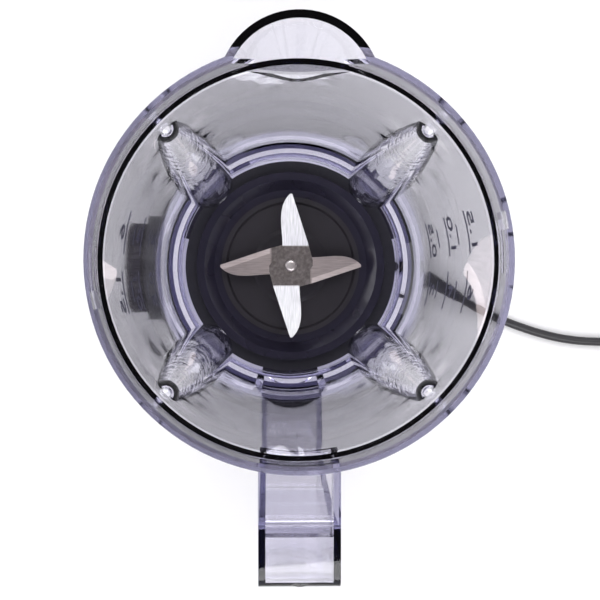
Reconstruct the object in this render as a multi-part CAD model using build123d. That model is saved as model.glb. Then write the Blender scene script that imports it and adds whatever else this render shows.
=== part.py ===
"""Countertop blender: clear jar with its blade unit, standing on a motor base with a mains lead.

Frame: millimetres, +Z up. The origin is on the jar and motor axis, on the surface the blender
stands on. The control knob faces -Y, the lead leaves at +Y, the handle is at +X, the spout at -X.
"""

from build123d import *
import math
import os

# ---------------------------------------------------------------- clearances
SLIDE_GAP = 0.3        # between pieces that move past each other
RUN_GAP = 0.05         # radial, a shaft in its bush
SEAT_GAP = 0.1         # between round faces of two fixed pieces
MOULD_GAP = 0.4        # between two mouldings that close on each other

# ---------------------------------------------------------------- base housing
FOOT_HEIGHT = 4.0
DECK_Z = 150.0
SKIRT_HALF = 85.0      # half the width and depth at the bottom edge
SKIRT_SIDE_R = 150.0   # the bowed sides in plan
SKIRT_CORNER_R = 42.0
SKIRT_SHIFT = 5.0      # the body leans this far back of the motor axis
DECK_HALF = 68.0
DECK_SIDE_R = 120.0
DECK_CORNER_R = 32.0
DECK_SHIFT = 1.5
DECK_EDGE_R = 5.0
BASE_WALL = 2.6
COVER_T = 3.0
COVER_SCREW_AT = 55.0  # from the body's centre, along X and along Y
FOOT_RING_MID_R = 55.0
FOOT_RING_W = 10.0
FOOT_STEM_R = 3.0
FOOT_STEMS = 4
FOOT_NOTCHES = 8
FOOT_NOTCH_W = 14.0
BOSS_R = 5.0
BOSS_TOP_Z = 52.0
VENT_COUNT = 7
VENT_L = 46.0
VENT_W = 3.0
VENT_PITCH = 7.0

# ---------------------------------------------------------------- jar
RIM_Z = 372.0
RIM_R = 72.0
RIM_WALL = 2.8
RIM_DEPTH = 12.4       # from the rim down to the ledge that the lid rests on
RIM_BAND = 18.0        # height of the thicker band outside
LEDGE_INNER_R = 67.1
FLOOR_Z = 187.0
FLOOR_INNER_R = 57.4
FLOOR_FILLET = 6.0
FLOOR_T = 3.0
JAR_WALL = 2.6
FOOT_RING_R = 61.8
FOOT_RING_H = 3.0
HEEL_Z = 168.0
HEEL_R = 60.0
NECK_R = 52.2          # inside the ring that the blade unit locks into
NECK_WALL = 2.6
NECK_Z = 166.0
LID_GROOVE_AT = 95.0   # twist-lock grooves for the lid, from +X towards +Y
LID_GROOVE_ARC = 17.2
LID_GROOVE_ENTRY = 5.0
LID_GROOVE_DEPTH = 1.5
LID_GROOVE_DROP = 6.5  # from the rim down to the groove
LID_GROOVE_H = 3.0

RIB_COUNT = 4
RIB_TOP_Z = 345.0
RIB_TOP_R = 5.0
RIB_MID_R = 10.2
RIB_MID_SHARE = 0.38
RIB_FOOT_R = 12.0
RIB_TOP_AT = 67.0      # from the jar's axis to the rib's own axis
RIB_FOOT_AT = 55.6

SPOUT_TIP_R = 83.4     # from the jar's axis
SPOUT_TOP_R = 27.6
SPOUT_FOOT_R = 11.0
SPOUT_FOOT_AT = 57.0
SPOUT_DEPTH = 42.0

HANDLE_W = 28.0
HANDLE_REACH = 111.5   # outer face, from the jar's axis
HANDLE_WALL = 2.4
HANDLE_TOP_Z = 367.0
HANDLE_FOOT_Z = 196.0
HANDLE_DEPTH = 17.0    # thickness of the grip, measured away from the jar
HANDLE_ARM = 20.0      # height of the arms that join it to the jar
HANDLE_EDGE_R = 5.0
HANDLE_MARK_R = 5.2    # two round pads inside the grip's top
HANDLE_MARK_T = 0.6
HANDLE_MARKS_AT = (95.3, 105.6)
HANDLE_LEAN = 6.0      # the grip comes this much nearer the jar at its foot
BRACKET_R = 19.1       # bulge of the jar's heel that carries the grip's foot
BRACKET_AT = 49.3
BRACKET_LOW_Z = 172.0

# ---------------------------------------------------------------- blade unit
COLLAR_R = 44.1
COLLAR_TOP_Z = 189.0
COLLAR_LAND_R = 40.5   # inner edge of the collar's flat top
COLLAR_STEP_R = 36.0
COLLAR_FLANGE_R = 49.8
COLLAR_FLANGE_Z = 174.0
COLLAR_FLANGE_T = 6.4
COLLAR_SKIRT_Z = 163.5
COLLAR_SKIRT_WALL = 3.2
LUG_COUNT = 3
LUG_ARC = 30.0
LUG_T = 2.6
DISC_R = 32.6
DISC_Z = 182.6
DISC_T = 4.0
DISC_LIP_W = 2.2
DOME_R = 17.8
DOME_H = 5.0
SEAL_R = 9.0
SEAL_H = 5.0
SPINDLE_R = 4.0
SPINDLE_NOSE_R = 2.6
SPINDLE_FLAT = 2.1
SPINDLE_FOOT_Z = 158.0
RIVET_R = 2.9
RIVET_H = 1.8
BUSH_R = 7.0
BUSH_L = 5.5
BOSS_WALL = 4.0
BOSS_FOOT_Z = 169.0
WASHER_R = 7.0
WASHER_T = 1.2
BLADE_Z = 194.6        # underside of the lower blade
BLADE_T = 1.5
BLADE_REACH = 33.0
BLADE_FOLD = 9.3       # from the axis to the line where a wing bends
BLADE_ROOT = 8.0       # straight edge's distance from the wing's middle line at the bend
BLADE_BACK = 4.0       # curved edge's distance from it
BLADE_HUB = 10.1
UPPER_BEND = 14.0      # degrees, up
LOWER_BEND = 11.0      # degrees, down
BEVEL_W = 2.4
BEVEL_DEPTH = 1.05
BLADE_TIP_W = 1.0

# ---------------------------------------------------------------- drive coupling
TOOTH_COUNT = 6
TOOTH_ARC = 22.0
COUPLING_HUB_R = 7.0
COUPLING_TOOTH_R = 14.0
COUPLING_DISC_R = 17.0
COUPLING_Z = 148.0
COUPLING_DISC_T = 3.0
COUPLING_HUB_Z = 140.0
COUPLING_TOP_Z = 160.5
COUPLING_BORE_TOP_Z = 154.0
DRIVEN_R = 19.0
DRIVEN_FOOT_Z = 153.0
DRIVEN_TOP_Z = 166.0
DRIVEN_WALL = 3.0
DRIVEN_WEB_T = 4.5
DRIVEN_TOOTH_R = 8.0
DECK_HOLE_R = 21.0

# ---------------------------------------------------------------- jar seat and interlock
SEAT_INNER_R = 46.0
SEAT_H = 10.0
KEY_COUNT = 2
KEY_ANGLE = 26.0       # from +X, turning towards +Y
KEY_ARC = 9.0
PIN_R = 2.3
PIN_FLANGE_R = 3.9
PIN_TRAVEL = 2.0
PIN_AT = 53.2          # from the axis, towards +Y
PIN_TOP_Z = 162.0
PIN_FOOT_Z = 124.0
PIN_FLANGE_Z = 136.0
PIN_FLANGE_T = 2.0
PIN_TOOTH_ARC = 9.0
GUIDE_R = 6.0
GUIDE_FOOT_Z = 128.0
GUIDE_FLOOR_T = 2.0
GUIDE_PLATE_W = 22.0
GUIDE_PLATE_T = 2.0
SPRING_WIRE_R = 0.45
SPRING_R = 3.05
SPRING_PITCH = 1.25
SPRING_TURNS = 4
SWITCH_L = 20.0
SWITCH_W = 7.0
SWITCH_TOP_Z = 122.0
SWITCH_H = 10.0
SWITCH_BUTTON_R = 1.6

# ---------------------------------------------------------------- motor
SHAFT_R = 4.0
SHAFT_FOOT_Z = 26.0
STACK_Z = 62.0
STACK_H = 30.0
STATOR_W = 68.0
STATOR_CORNER_R = 12.0
ARMATURE_R = 19.4
AIR_GAP = 0.6
SLOT_COUNT = 12
SLOT_FROM = 10.0
SLOT_TO = 17.0
SLOT_W = 4.0
SLOT_MOUTH = 1.6
WINDING_R = 13.2
WINDING_CORE_R = 5.5
WINDING_H = 6.0
COMMUTATOR_R = 10.5
COMMUTATOR_Z = 99.0
COMMUTATOR_H = 11.0
BRACKET_T = 3.0
UPPER_BRACKET_Z = 112.0
LOWER_BRACKET_Z = 35.0
BRACKET_W = 84.0
MOTOR_BUSH_R = 8.0
MOTOR_BUSH_L = 8.0
MOTOR_SHAFT_TOP_Z = 154.0
TIE_AT = 28.0
TIE_R = 2.0
SPACER_R = 4.0
POST_AT = 36.0
POST_R = 5.0
GROMMET_H = 4.0
GROMMET_R = 6.0
FAN_R = 32.0
FAN_Z = 42.0
FAN_H = 9.0
FAN_BLADES = 9
BRUSH_W = 6.0
BRUSH_H = 5.0
BRUSH_Z = 104.5
BRUSH_OUT = 26.0
HOLDER_OUT = 30.0
HOLDER_WALL = 2.0
FIELD_X = (16.0, 24.0)
FIELD_Y = (14.0, 23.0)

# ---------------------------------------------------------------- control knob
KNOB_R = 25.2
KNOB_Z = 75.0
KNOB_H = 10.6
KNOB_WALL = 2.5
KNOB_FLUTES = 40
KNOB_FLUTE_R = 0.9
KNOB_EDGE_R = 1.2
KNOB_HUB_R = 6.0
KNOB_MARK = (2.0, 13.0, 0.8)
DIAL_R = 29.5
DIAL_PROUD = 0.8       # the ring's least thickness over the panel
PANEL_T = 1.2
PANEL_W = 90.0
PANEL_Z = (16.0, 142.0)
KNOB_SHAFT_R = 3.0
KNOB_SHAFT_FLAT = 2.2
KNOB_SHAFT_BACK = 9.0  # inside the selector's body
KNOB_SHAFT_TIP = 7.6   # outside the dial's face
SELECTOR_SETBACK = 3.47  # from the housing's wall back to the top of the selector's body
SELECTOR_L = 16.0
SELECTOR_W = 26.0
SELECTOR_NECK_R = 4.5
SELECTOR_BOSS_R = 9.0
NUT_R = 7.0
NUT_T = 2.4

# ---------------------------------------------------------------- mains lead
CORD_R = 2.5
SLEEVE_X = 4.6
SLEEVE_Z = 16.0
SLEEVE_TURN = 31.0     # degrees from +Y towards +X
SLEEVE_DROP = 14.0     # degrees below level
SLEEVE_L = 26.0
SLEEVE_BIG_R = 4.2
SLEEVE_SMALL_R = 3.1
SLEEVE_FLANGE_R = 7.0
SLEEVE_FLANGE_T = 2.0
GLAND_BOSS_R = 8.0
GLAND_GRIP = 6.0
CORD_START = 24.0      # how far inside the sleeve's root the lead starts
CORD_SAG_AT = 2.0      # past the sleeve, where the lead starts to fall faster
CORD_SAG_RUN = 22.0
CORD_SHARE = 0.45      # share of the shorter straight run that a bend uses up
COIL_AT = (12.0, 236.0)
COIL_MID_R = 28.0      # middle of the turns
COIL_W = 15.0
COIL_H = 10.0
COIL_EDGE_R = 2.4
CLAMP_AT = (-18.0, -11.0)
CLAMP_W = 24.0
CLAMP_BAR_T = 5.0
CLAMP_SCREW_AT = 8.0
CLAMP_SCREW_BITE = 9.0
TERMINAL = (24.0, 14.0, 20.0)
TERMINAL_AT = (-10.0, 53.0)
TERMINAL_WAYS = 3
TERMINAL_HOLE_R = 1.8
PLUG_L = 36.0
PLUG_W = 35.0
PLUG_H = 13.7
PLUG_NECK_R = 4.6
PLUG_PIN_R = 2.0
PLUG_PIN_L = 19.0
PLUG_PIN_PITCH = 18.6
PLUG_PIN_GRIP = 8.0
PLUG_AT = -22.0        # where the plug's cord end lies, along X

# ---------------------------------------------------------------- screws and small sizes
SCREW_R = 1.6
SCREW_HEAD_R = 3.2
SCREW_HEAD_T = 1.8
SCREW_BITE = 12.0
SCREW_SLOT_W = 0.8
SCREW_SLOT_D = 0.9
FOOT_EDGE = 0.8
RIB_BURY = 3.0
KEY_DEPTH = 3.5
LOCK_LUG_Z = 168.5

POST_FOOT_Z = UPPER_BRACKET_Z + BRACKET_T + GROMMET_H
KEY_INNER_R = HEEL_R - JAR_WALL - KEY_DEPTH


def base_share(z):
    """0 at the bottom edge, 1 at the deck."""
    return (z - FOOT_HEIGHT) / (DECK_Z - FOOT_HEIGHT)


def base_half(z):
    return SKIRT_HALF + (DECK_HALF - SKIRT_HALF) * base_share(z)


def base_shift(z):
    return SKIRT_SHIFT + (DECK_SHIFT - SKIRT_SHIFT) * base_share(z)


# distances in front of the motor axis, all from where the dial ring has to clear the panel
DIAL_FOOT_Z = KNOB_Z - DIAL_R
DIAL_FACE = base_half(DIAL_FOOT_Z) - base_shift(DIAL_FOOT_Z) + PANEL_T + DIAL_PROUD
KNOB_BACK = DIAL_FACE + MOULD_GAP
KNOB_FACE = KNOB_BACK + KNOB_H
KNOB_HUB_BACK = DIAL_FACE + NUT_T + 1.0
SELECTOR_TOP_Z = KNOB_Z + SELECTOR_W / 2
SELECTOR_WALL = base_half(SELECTOR_TOP_Z) - base_shift(SELECTOR_TOP_Z) - BASE_WALL
SELECTOR_FACE = SELECTOR_WALL - SELECTOR_SETBACK
SLEEVE_AT = (SLEEVE_X, base_half(SLEEVE_Z) + base_shift(SLEEVE_Z) - BASE_WALL, SLEEVE_Z)

FOOT_Z = DECK_Z        # underside of the jar's foot ring
LEDGE_Z = RIM_Z - RIM_DEPTH
FULL = 360.0


def save(name, shape):
    """Writes one named piece, or a group of alike pieces."""
    if isinstance(shape, list):
        shape = Compound(shape)
    export_step(shape, f"parts/{name}.step")


def rod(radius, z_low, z_high, x=0.0, y=0.0):
    """A vertical cylinder between two heights."""
    body = Cylinder(radius, z_high - z_low, align=(Align.CENTER, Align.CENTER, Align.MIN))
    return Pos(x, y, z_low) * body


def tube(outer, inner, z_low, z_high, x=0.0, y=0.0):
    """A vertical tube between two heights."""
    return rod(outer, z_low, z_high, x, y) - rod(inner, z_low - 1, z_high + 1, x, y)


def block(x_low, x_high, y_low, y_high, z_low, z_high):
    """A box from its limits."""
    body = Box(x_high - x_low, y_high - y_low, z_high - z_low, align=(Align.MIN,) * 3)
    return Pos(x_low, y_low, z_low) * body


def turned(points):
    """A solid of revolution about Z from (radius, height) corners."""
    outline = Polyline(*[(r, 0, z) for r, z in points], close=True)
    return revolve(make_face(outline), Axis.Z)


def sector(outer, inner, z_low, z_high, middle, arc):
    """A piece of a ring, arc degrees wide, its middle at the given angle from +X."""
    reach = outer * 2
    half = math.radians(arc / 2)
    wedge = Polygon(
        (0, 0),
        (reach, -reach * math.tan(half)),
        (reach, reach * math.tan(half)),
        align=None,
    )
    cutter = Pos(0, 0, z_low) * extrude(wedge, z_high - z_low)
    return tube(outer, inner, z_low, z_high) & (Rot(0, 0, middle) * cutter)


def polar(count, start=0.0):
    """Angles of a pattern spread evenly round the axis."""
    return [start + FULL * i / count for i in range(count)]


def square(reach):
    """The four corners of a square pattern."""
    return [(sx * reach, sy * reach) for sx in (-1, 1) for sy in (-1, 1)]


# ---------------------------------------------------------------- base housing
def base_plan(half, side_r, corner_r, shift, z):
    """The base's outline in plan: four bowed sides with rounded corners."""
    away = side_r - half
    plan = Pos(away, 0) * Circle(side_r) & Pos(-away, 0) * Circle(side_r)
    plan = plan & Pos(0, away) * Circle(side_r) & Pos(0, -away) * Circle(side_r)
    plan = fillet(plan.vertices(), corner_r)
    return Pos(0, shift, z) * plan


def base_section(inset, z):
    """The body's outline at a height, drawn in by inset on every side."""
    s = base_share(z)
    side_r = SKIRT_SIDE_R + (DECK_SIDE_R - SKIRT_SIDE_R) * s
    corner_r = SKIRT_CORNER_R + (DECK_CORNER_R - SKIRT_CORNER_R) * s
    return base_plan(base_half(z) - inset, side_r - inset, corner_r - inset, base_shift(z), z)


def base_body(inset, z_low, z_high):
    """The tapering body, drawn in by inset on every side."""
    return loft([base_section(inset, z_low), base_section(inset, z_high)], ruled=True)


def rounded_top(body, radius):
    """The body with the edge round its top face rounded."""
    return fillet(body.faces().sort_by(Axis.Z)[-1].edges(), radius)


def front_rod(radius, near, far):
    """A cylinder on the knob's axis, between two distances in front of the motor axis."""
    return Pos(0, 0, KNOB_Z) * Rot(90, 0, 0) * rod(radius, near, far)


def cover_screw_spots():
    return [(x, y + SKIRT_SHIFT) for x, y in square(COVER_SCREW_AT)]


def sleeve_frame():
    """Where the lead's strain relief starts and which way it points."""
    return Pos(*SLEEVE_AT) * Rot(0, 0, -SLEEVE_TURN) * Rot(-90 - SLEEVE_DROP, 0, 0)


def make_housing():
    outer = rounded_top(base_body(0, FOOT_HEIGHT, DECK_Z), DECK_EDGE_R)
    inside_top = DECK_Z - BASE_WALL
    inner = base_body(BASE_WALL, FOOT_HEIGHT, inside_top)
    inner = rounded_top(inner, DECK_EDGE_R - BASE_WALL)
    housing = outer - inner
    cover_top = FOOT_HEIGHT + COVER_T
    for x, y in cover_screw_spots():
        boss = rod(BOSS_R, cover_top, BOSS_TOP_Z, x, y) & outer
        housing = housing + boss - rod(SCREW_R, cover_top - 1, cover_top + SCREW_BITE, x, y)
    for x, y in square(POST_AT):
        post = rod(POST_R, POST_FOOT_Z, inside_top, x, y)
        housing = housing + post - rod(SCREW_R, POST_FOOT_Z - 1, POST_FOOT_Z + SCREW_BITE, x, y)
    housing = housing - rod(DECK_HOLE_R, inside_top - 1, DECK_Z + 1)
    housing = housing - rod(PIN_R + SLIDE_GAP, inside_top - 1, DECK_Z + 1, 0, PIN_AT)
    housing = housing + (front_rod(SELECTOR_BOSS_R, SELECTOR_FACE, KNOB_FACE) & outer)
    housing = housing - front_rod(SELECTOR_NECK_R + SEAT_GAP, SELECTOR_FACE - 1, KNOB_FACE)
    gland_boss = sleeve_frame() * rod(GLAND_BOSS_R, -GLAND_GRIP, SLEEVE_L)
    housing = housing + (gland_boss & outer)
    return housing - sleeve_frame() * rod(SLEEVE_BIG_R + SEAT_GAP, -GLAND_GRIP - 1, SLEEVE_L)


def make_cover():
    """The plate that closes the base from below, with its vents."""
    plan = base_section(BASE_WALL + MOULD_GAP, FOOT_HEIGHT + COVER_T)
    cover = Pos(0, 0, -COVER_T) * extrude(plan, COVER_T)
    for i in range(VENT_COUNT):
        y = (i - (VENT_COUNT - 1) / 2) * VENT_PITCH
        slot = SlotOverall(VENT_L, VENT_W)
        cover = cover - Pos(0, y, FOOT_HEIGHT - 1) * extrude(slot, COVER_T + 2)
    for x, y in cover_screw_spots():
        cover = cover - rod(SCREW_R + SEAT_GAP, FOOT_HEIGHT - 1, FOOT_HEIGHT + COVER_T + 1, x, y)
    for x, y in foot_spots():
        cover = cover - rod(FOOT_STEM_R + SEAT_GAP, FOOT_HEIGHT - 1, FOOT_HEIGHT + COVER_T + 1, x, y)
    pedestal = sleeve_frame() * block(-CLAMP_W / 2, CLAMP_W / 2, 0, DECK_Z, *CLAMP_AT)
    above_cover = block(-SKIRT_HALF, SKIRT_HALF, 0, SKIRT_HALF, FOOT_HEIGHT + COVER_T / 2, DECK_Z)
    pedestal = (pedestal & above_cover) - sleeve_frame() * rod(CORD_R, -CORD_START, 0)
    for side in (-1, 1):
        pedestal = pedestal - clamp_hole(side, 0, CLAMP_SCREW_BITE)
    return cover + pedestal


def clamp_hole(side, near, far):
    """A cylinder for a clamp screw, along the direction that points down through the lead."""
    middle = (CLAMP_AT[0] + CLAMP_AT[1]) / 2
    pose = sleeve_frame() * Pos(side * CLAMP_SCREW_AT, 0, middle) * Rot(-90, 0, 0)
    return pose * rod(SCREW_R, near, far)


def foot_spots():
    """Where the foot's stems pass through the cover."""
    angles = [math.radians(angle) for angle in polar(FOOT_STEMS, 45)]
    return [(FOOT_RING_MID_R * math.cos(a), SKIRT_SHIFT + FOOT_RING_MID_R * math.sin(a)) for a in angles]


def make_foot():
    """A rubber ring with air notches over its top, held by stems through the cover."""
    half = FOOT_RING_W / 2
    foot = tube(FOOT_RING_MID_R + half, FOOT_RING_MID_R - half, 0, FOOT_HEIGHT)
    foot = chamfer(foot.edges().filter_by(GeomType.CIRCLE).group_by(Axis.Z)[0], FOOT_EDGE)
    for angle in polar(FOOT_NOTCHES, FULL / FOOT_NOTCHES / 2 + 45):
        notch = block(FOOT_RING_MID_R - FOOT_RING_W, FOOT_RING_MID_R + FOOT_RING_W,
                      -FOOT_NOTCH_W / 2, FOOT_NOTCH_W / 2, FOOT_HEIGHT / 2, FOOT_HEIGHT + 1)
        foot = foot - Rot(0, 0, angle) * notch
    foot = Pos(0, SKIRT_SHIFT, 0) * foot
    for x, y in foot_spots():
        foot = foot + rod(FOOT_STEM_R, FOOT_HEIGHT / 2, FOOT_HEIGHT + COVER_T, x, y)
    return foot


def screw(x, y, head_z, tip_z):
    """A pan-head screw driven upwards, with a cross slot in its head."""
    head = rod(SCREW_HEAD_R, head_z - SCREW_HEAD_T, head_z, x, y)
    shank = rod(SCREW_R - SEAT_GAP, head_z, tip_z, x, y)
    half = SCREW_SLOT_W / 2
    slot = block(-SCREW_HEAD_R, SCREW_HEAD_R, -half, half, 0, SCREW_SLOT_D)
    cross = slot + Rot(0, 0, 90) * slot
    return head + shank - Pos(x, y, head_z - SCREW_HEAD_T) * cross


def make_cover_screws():
    tip = FOOT_HEIGHT + COVER_T + SCREW_BITE - 1
    return [screw(x, y, FOOT_HEIGHT, tip) for x, y in cover_screw_spots()]


# ---------------------------------------------------------------- jar
def wall_inner(z):
    """Inside radius of the jar's wall at a height."""
    return FLOOR_INNER_R + (LEDGE_INNER_R - FLOOR_INNER_R) * (z - FLOOR_Z) / (LEDGE_Z - FLOOR_Z)


def wall_outer(z):
    return wall_inner(z) + JAR_WALL


def rib_solid(skin):
    """One rib's full bullet, drawn in by skin. Its axis leans from near the floor to the wall."""
    lean = math.degrees(math.atan2(RIB_TOP_AT - RIB_FOOT_AT, RIB_TOP_Z - FLOOR_Z))
    length = math.hypot(RIB_TOP_AT - RIB_FOOT_AT, RIB_TOP_Z - FLOOR_Z)
    dome_r = RIB_TOP_R - skin
    shoulder = length - RIB_TOP_R
    dome_mid = (dome_r * math.sin(math.pi / 4), 0, shoulder + dome_r * math.cos(math.pi / 4))
    side = ThreePointArc(
        (dome_r, 0, shoulder),
        (RIB_MID_R - skin, 0, length * (1 - RIB_MID_SHARE)),
        (RIB_FOOT_R - skin, 0, 0),
    )
    dome = ThreePointArc((0, 0, shoulder + dome_r), dome_mid, (dome_r, 0, shoulder))
    foot = Polyline((RIB_FOOT_R - skin, 0, 0), (RIB_FOOT_R - skin, 0, -RIB_BURY), (0, 0, -RIB_BURY))
    axis = Line((0, 0, -RIB_BURY), (0, 0, shoulder + dome_r))
    bullet = revolve(make_face(dome + side + foot + axis), Axis.Z)
    return Pos(RIB_FOOT_AT, 0, FLOOR_Z) * Rot(0, lean, 0) * bullet


def spout_cone(skin, top_z):
    """The spout's flaring lip as a leaning cone, drawn in by skin."""
    low = Pos(-SPOUT_FOOT_AT, 0, RIM_Z - SPOUT_DEPTH) * Circle(SPOUT_FOOT_R - skin)
    high = Pos(-(SPOUT_TIP_R - SPOUT_TOP_R), 0, RIM_Z) * Circle(SPOUT_TOP_R - skin)
    cone = loft([low, high])
    if top_z > RIM_Z:
        cone = cone + extrude(cone.faces().sort_by(Axis.Z)[-1], top_z - RIM_Z)
    return cone


def make_jar():
    floor_low = FLOOR_Z - FLOOR_T
    band_low = RIM_Z - RIM_BAND
    neck_outer = NECK_R + NECK_WALL
    section = [
        (FOOT_RING_R, FOOT_Z),
        (FOOT_RING_R, FOOT_Z + FOOT_RING_H),
        (HEEL_R, HEEL_Z),
        (wall_outer(FLOOR_Z), FLOOR_Z),
        (wall_outer(band_low), band_low),
        (RIM_R, band_low + RIM_R - wall_outer(band_low)),
        (RIM_R, RIM_Z),
        (RIM_R - RIM_WALL, RIM_Z),
        (RIM_R - RIM_WALL, LEDGE_Z),
        (LEDGE_INNER_R, LEDGE_Z),
        (wall_inner(FLOOR_Z + FLOOR_FILLET), FLOOR_Z + FLOOR_FILLET),
        (FLOOR_INNER_R - FLOOR_FILLET, FLOOR_Z),
        (COLLAR_R + SLIDE_GAP, FLOOR_Z),
        (COLLAR_R + SLIDE_GAP, floor_low),
        (NECK_R, floor_low),
        (NECK_R, NECK_Z),
        (neck_outer, NECK_Z),
        (neck_outer, floor_low),
        (HEEL_R - JAR_WALL, floor_low),
        (HEEL_R - JAR_WALL, HEEL_Z),
        (FOOT_RING_R - JAR_WALL, FOOT_Z + FOOT_RING_H),
        (FOOT_RING_R - JAR_WALL, FOOT_Z),
    ]
    jar = turned(section)
    cavity_plug = turned([(0, FLOOR_Z), (FLOOR_INNER_R, FLOOR_Z), (LEDGE_INNER_R, LEDGE_Z), (0, LEDGE_Z)])
    # ribs: the wall is pressed inwards, so each rib is a shell with a groove behind it
    wall_core = turned([(0, floor_low), (wall_outer(FLOOR_Z) - JAR_WALL / 2, floor_low),
                        (wall_outer(LEDGE_Z) - JAR_WALL / 2, LEDGE_Z), (0, LEDGE_Z)])
    above_floor = rod(RIM_R, floor_low, LEDGE_Z)
    groove_room = rod(RIM_R, FLOOR_Z, LEDGE_Z)
    for angle in polar(RIB_COUNT, FULL / RIB_COUNT / 2):
        bullet = Rot(0, 0, angle) * (rib_solid(0) & wall_core & above_floor)
        jar = jar + bullet
    for angle in polar(RIB_COUNT, FULL / RIB_COUNT / 2):
        jar = jar - Rot(0, 0, angle) * (rib_solid(JAR_WALL) & groove_room)
    jar = jar - rod(COLLAR_R + SLIDE_GAP, floor_low - 1, COLLAR_TOP_Z + SLIDE_GAP)
    jar = jar + handle_bulge()
    # spout: add the lip, then open its channel and the ledge behind it
    spout = spout_cone(0, RIM_Z) - mouth_room()
    jar = jar + spout - spout_cone(RIM_WALL, RIM_Z + 1) + spout_heel(cavity_plug)
    # grooves in the mouth for the lid, and keys in the foot for the seat
    for middle in polar(2, LID_GROOVE_AT):
        jar = jar - lid_groove(middle)
    for middle in polar(KEY_COUNT, KEY_ANGLE):
        key = sector(HEEL_R - JAR_WALL / 2, KEY_INNER_R, FOOT_Z, HEEL_Z, middle, KEY_ARC)
        jar = jar + key
    # lugs in the neck, and the tooth that holds the interlock pin down
    lug_inner = COLLAR_FLANGE_R + SLIDE_GAP
    for middle in polar(LUG_COUNT):
        jar = jar + sector(NECK_R + 1, lug_inner, LOCK_LUG_Z, LOCK_LUG_Z + LUG_T, middle, LUG_ARC)
    tooth = sector(neck_outer, NECK_R, PIN_TOP_Z + SLIDE_GAP, NECK_Z + 1, 90, PIN_TOOTH_ARC)
    return jar + tooth


def handle_bulge():
    """A round hollow bulge outside the heel, open below, that the grip's foot stands on."""
    outer = rod(BRACKET_R, BRACKET_LOW_Z, HANDLE_FOOT_Z, BRACKET_AT)
    inner = rod(BRACKET_R - JAR_WALL, BRACKET_LOW_Z - 1, HANDLE_FOOT_Z - JAR_WALL, BRACKET_AT)
    return (outer - inner) - heel_core()


def heel_core():
    """Everything inside the middle of the jar's wall, from the heel up past the grip's foot."""
    half_wall = JAR_WALL / 2
    return turned([
        (0, HEEL_Z - 1),
        (HEEL_R - half_wall, HEEL_Z - 1),
        (HEEL_R - half_wall, HEEL_Z),
        (wall_outer(FLOOR_Z) - half_wall, FLOOR_Z),
        (wall_outer(HANDLE_FOOT_Z + 1) - half_wall, HANDLE_FOOT_Z + 1),
        (0, HANDLE_FOOT_Z + 1),
    ])


def mouth_room():
    """The space inside the jar's wall and, above the ledge, inside the bore for the lid."""
    bore_r = RIM_R - RIM_WALL
    return turned([
        (0, FLOOR_Z), (FLOOR_INNER_R, FLOOR_Z), (LEDGE_INNER_R, LEDGE_Z),
        (bore_r, LEDGE_Z), (bore_r, RIM_Z + 1), (0, RIM_Z + 1),
    ])


def lid_groove(middle):
    """A twist-lock groove inside the rim, with its way in from above."""
    outer = RIM_R - RIM_WALL + LID_GROOVE_DEPTH
    inner = RIM_R - RIM_WALL - 1
    high = RIM_Z - LID_GROOVE_DROP
    low = high - LID_GROOVE_H
    entry_at = middle + (LID_GROOVE_ARC - LID_GROOVE_ENTRY) / 2
    entry = sector(outer, inner, low, RIM_Z + 1, entry_at, LID_GROOVE_ENTRY)
    return sector(outer, inner, low, high, middle, LID_GROOVE_ARC) + entry


def spout_heel(cavity_plug):
    """The low wall that carries the ledge across the spout's channel."""
    heel = tube(RIM_R - RIM_WALL, LEDGE_INNER_R, RIM_Z - SPOUT_DEPTH, LEDGE_Z)
    return (heel & spout_cone(RIM_WALL / 2, RIM_Z)) - cavity_plug


def handle_path(inset):
    """The grip's outline seen from the side, in the XZ plane, drawn in by inset."""
    outer = HANDLE_REACH - inset
    inner = HANDLE_REACH - HANDLE_DEPTH + inset
    top, foot = HANDLE_TOP_Z - inset, HANDLE_FOOT_Z + inset
    loop = [
        (0, top), (outer, top), (outer - HANDLE_LEAN, foot), (0, foot),
        (0, foot + HANDLE_ARM - 2 * inset), (inner - HANDLE_LEAN, foot + HANDLE_ARM - 2 * inset),
        (inner, top - HANDLE_ARM + 2 * inset), (0, top - HANDLE_ARM + 2 * inset),
    ]
    return make_face(Polyline(*[(x, 0, z) for x, z in loop], close=True))


def make_handle():
    """A hollow grip whose finger side is open."""
    half = HANDLE_W / 2
    solid = Pos(0, half, 0) * extrude(handle_path(0), HANDLE_W, dir=(0, -1, 0))
    vertical = [e for e in solid.edges().filter_by(Axis.Y) if e.center().X > RIM_R]
    solid = fillet(vertical, HANDLE_EDGE_R)
    inner_w = HANDLE_W - 2 * HANDLE_WALL
    hollow = Pos(0, inner_w / 2, 0) * extrude(handle_path(HANDLE_WALL), inner_w, dir=(0, -1, 0))
    handle = solid - hollow
    window = block(RIM_R + 4, HANDLE_REACH - HANDLE_DEPTH + HANDLE_WALL + 1,
                   -half + HANDLE_WALL, half - HANDLE_WALL,
                   HANDLE_FOOT_Z + HANDLE_ARM + 6, HANDLE_TOP_Z - HANDLE_ARM - 6)
    handle = handle - window
    pad_top = HANDLE_TOP_Z - HANDLE_WALL
    for x in HANDLE_MARKS_AT:
        handle = handle + rod(HANDLE_MARK_R, pad_top - HANDLE_MARK_T, pad_top + HANDLE_WALL / 2, x)
    band_low = RIM_Z - RIM_BAND
    jar_wall = turned([
        (0, FLOOR_Z),
        (wall_outer(FLOOR_Z), FLOOR_Z),
        (wall_outer(band_low), band_low),
        (RIM_R, band_low + RIM_R - wall_outer(band_low)),
        (RIM_R, RIM_Z),
        (0, RIM_Z),
    ])
    return handle - jar_wall


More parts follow.
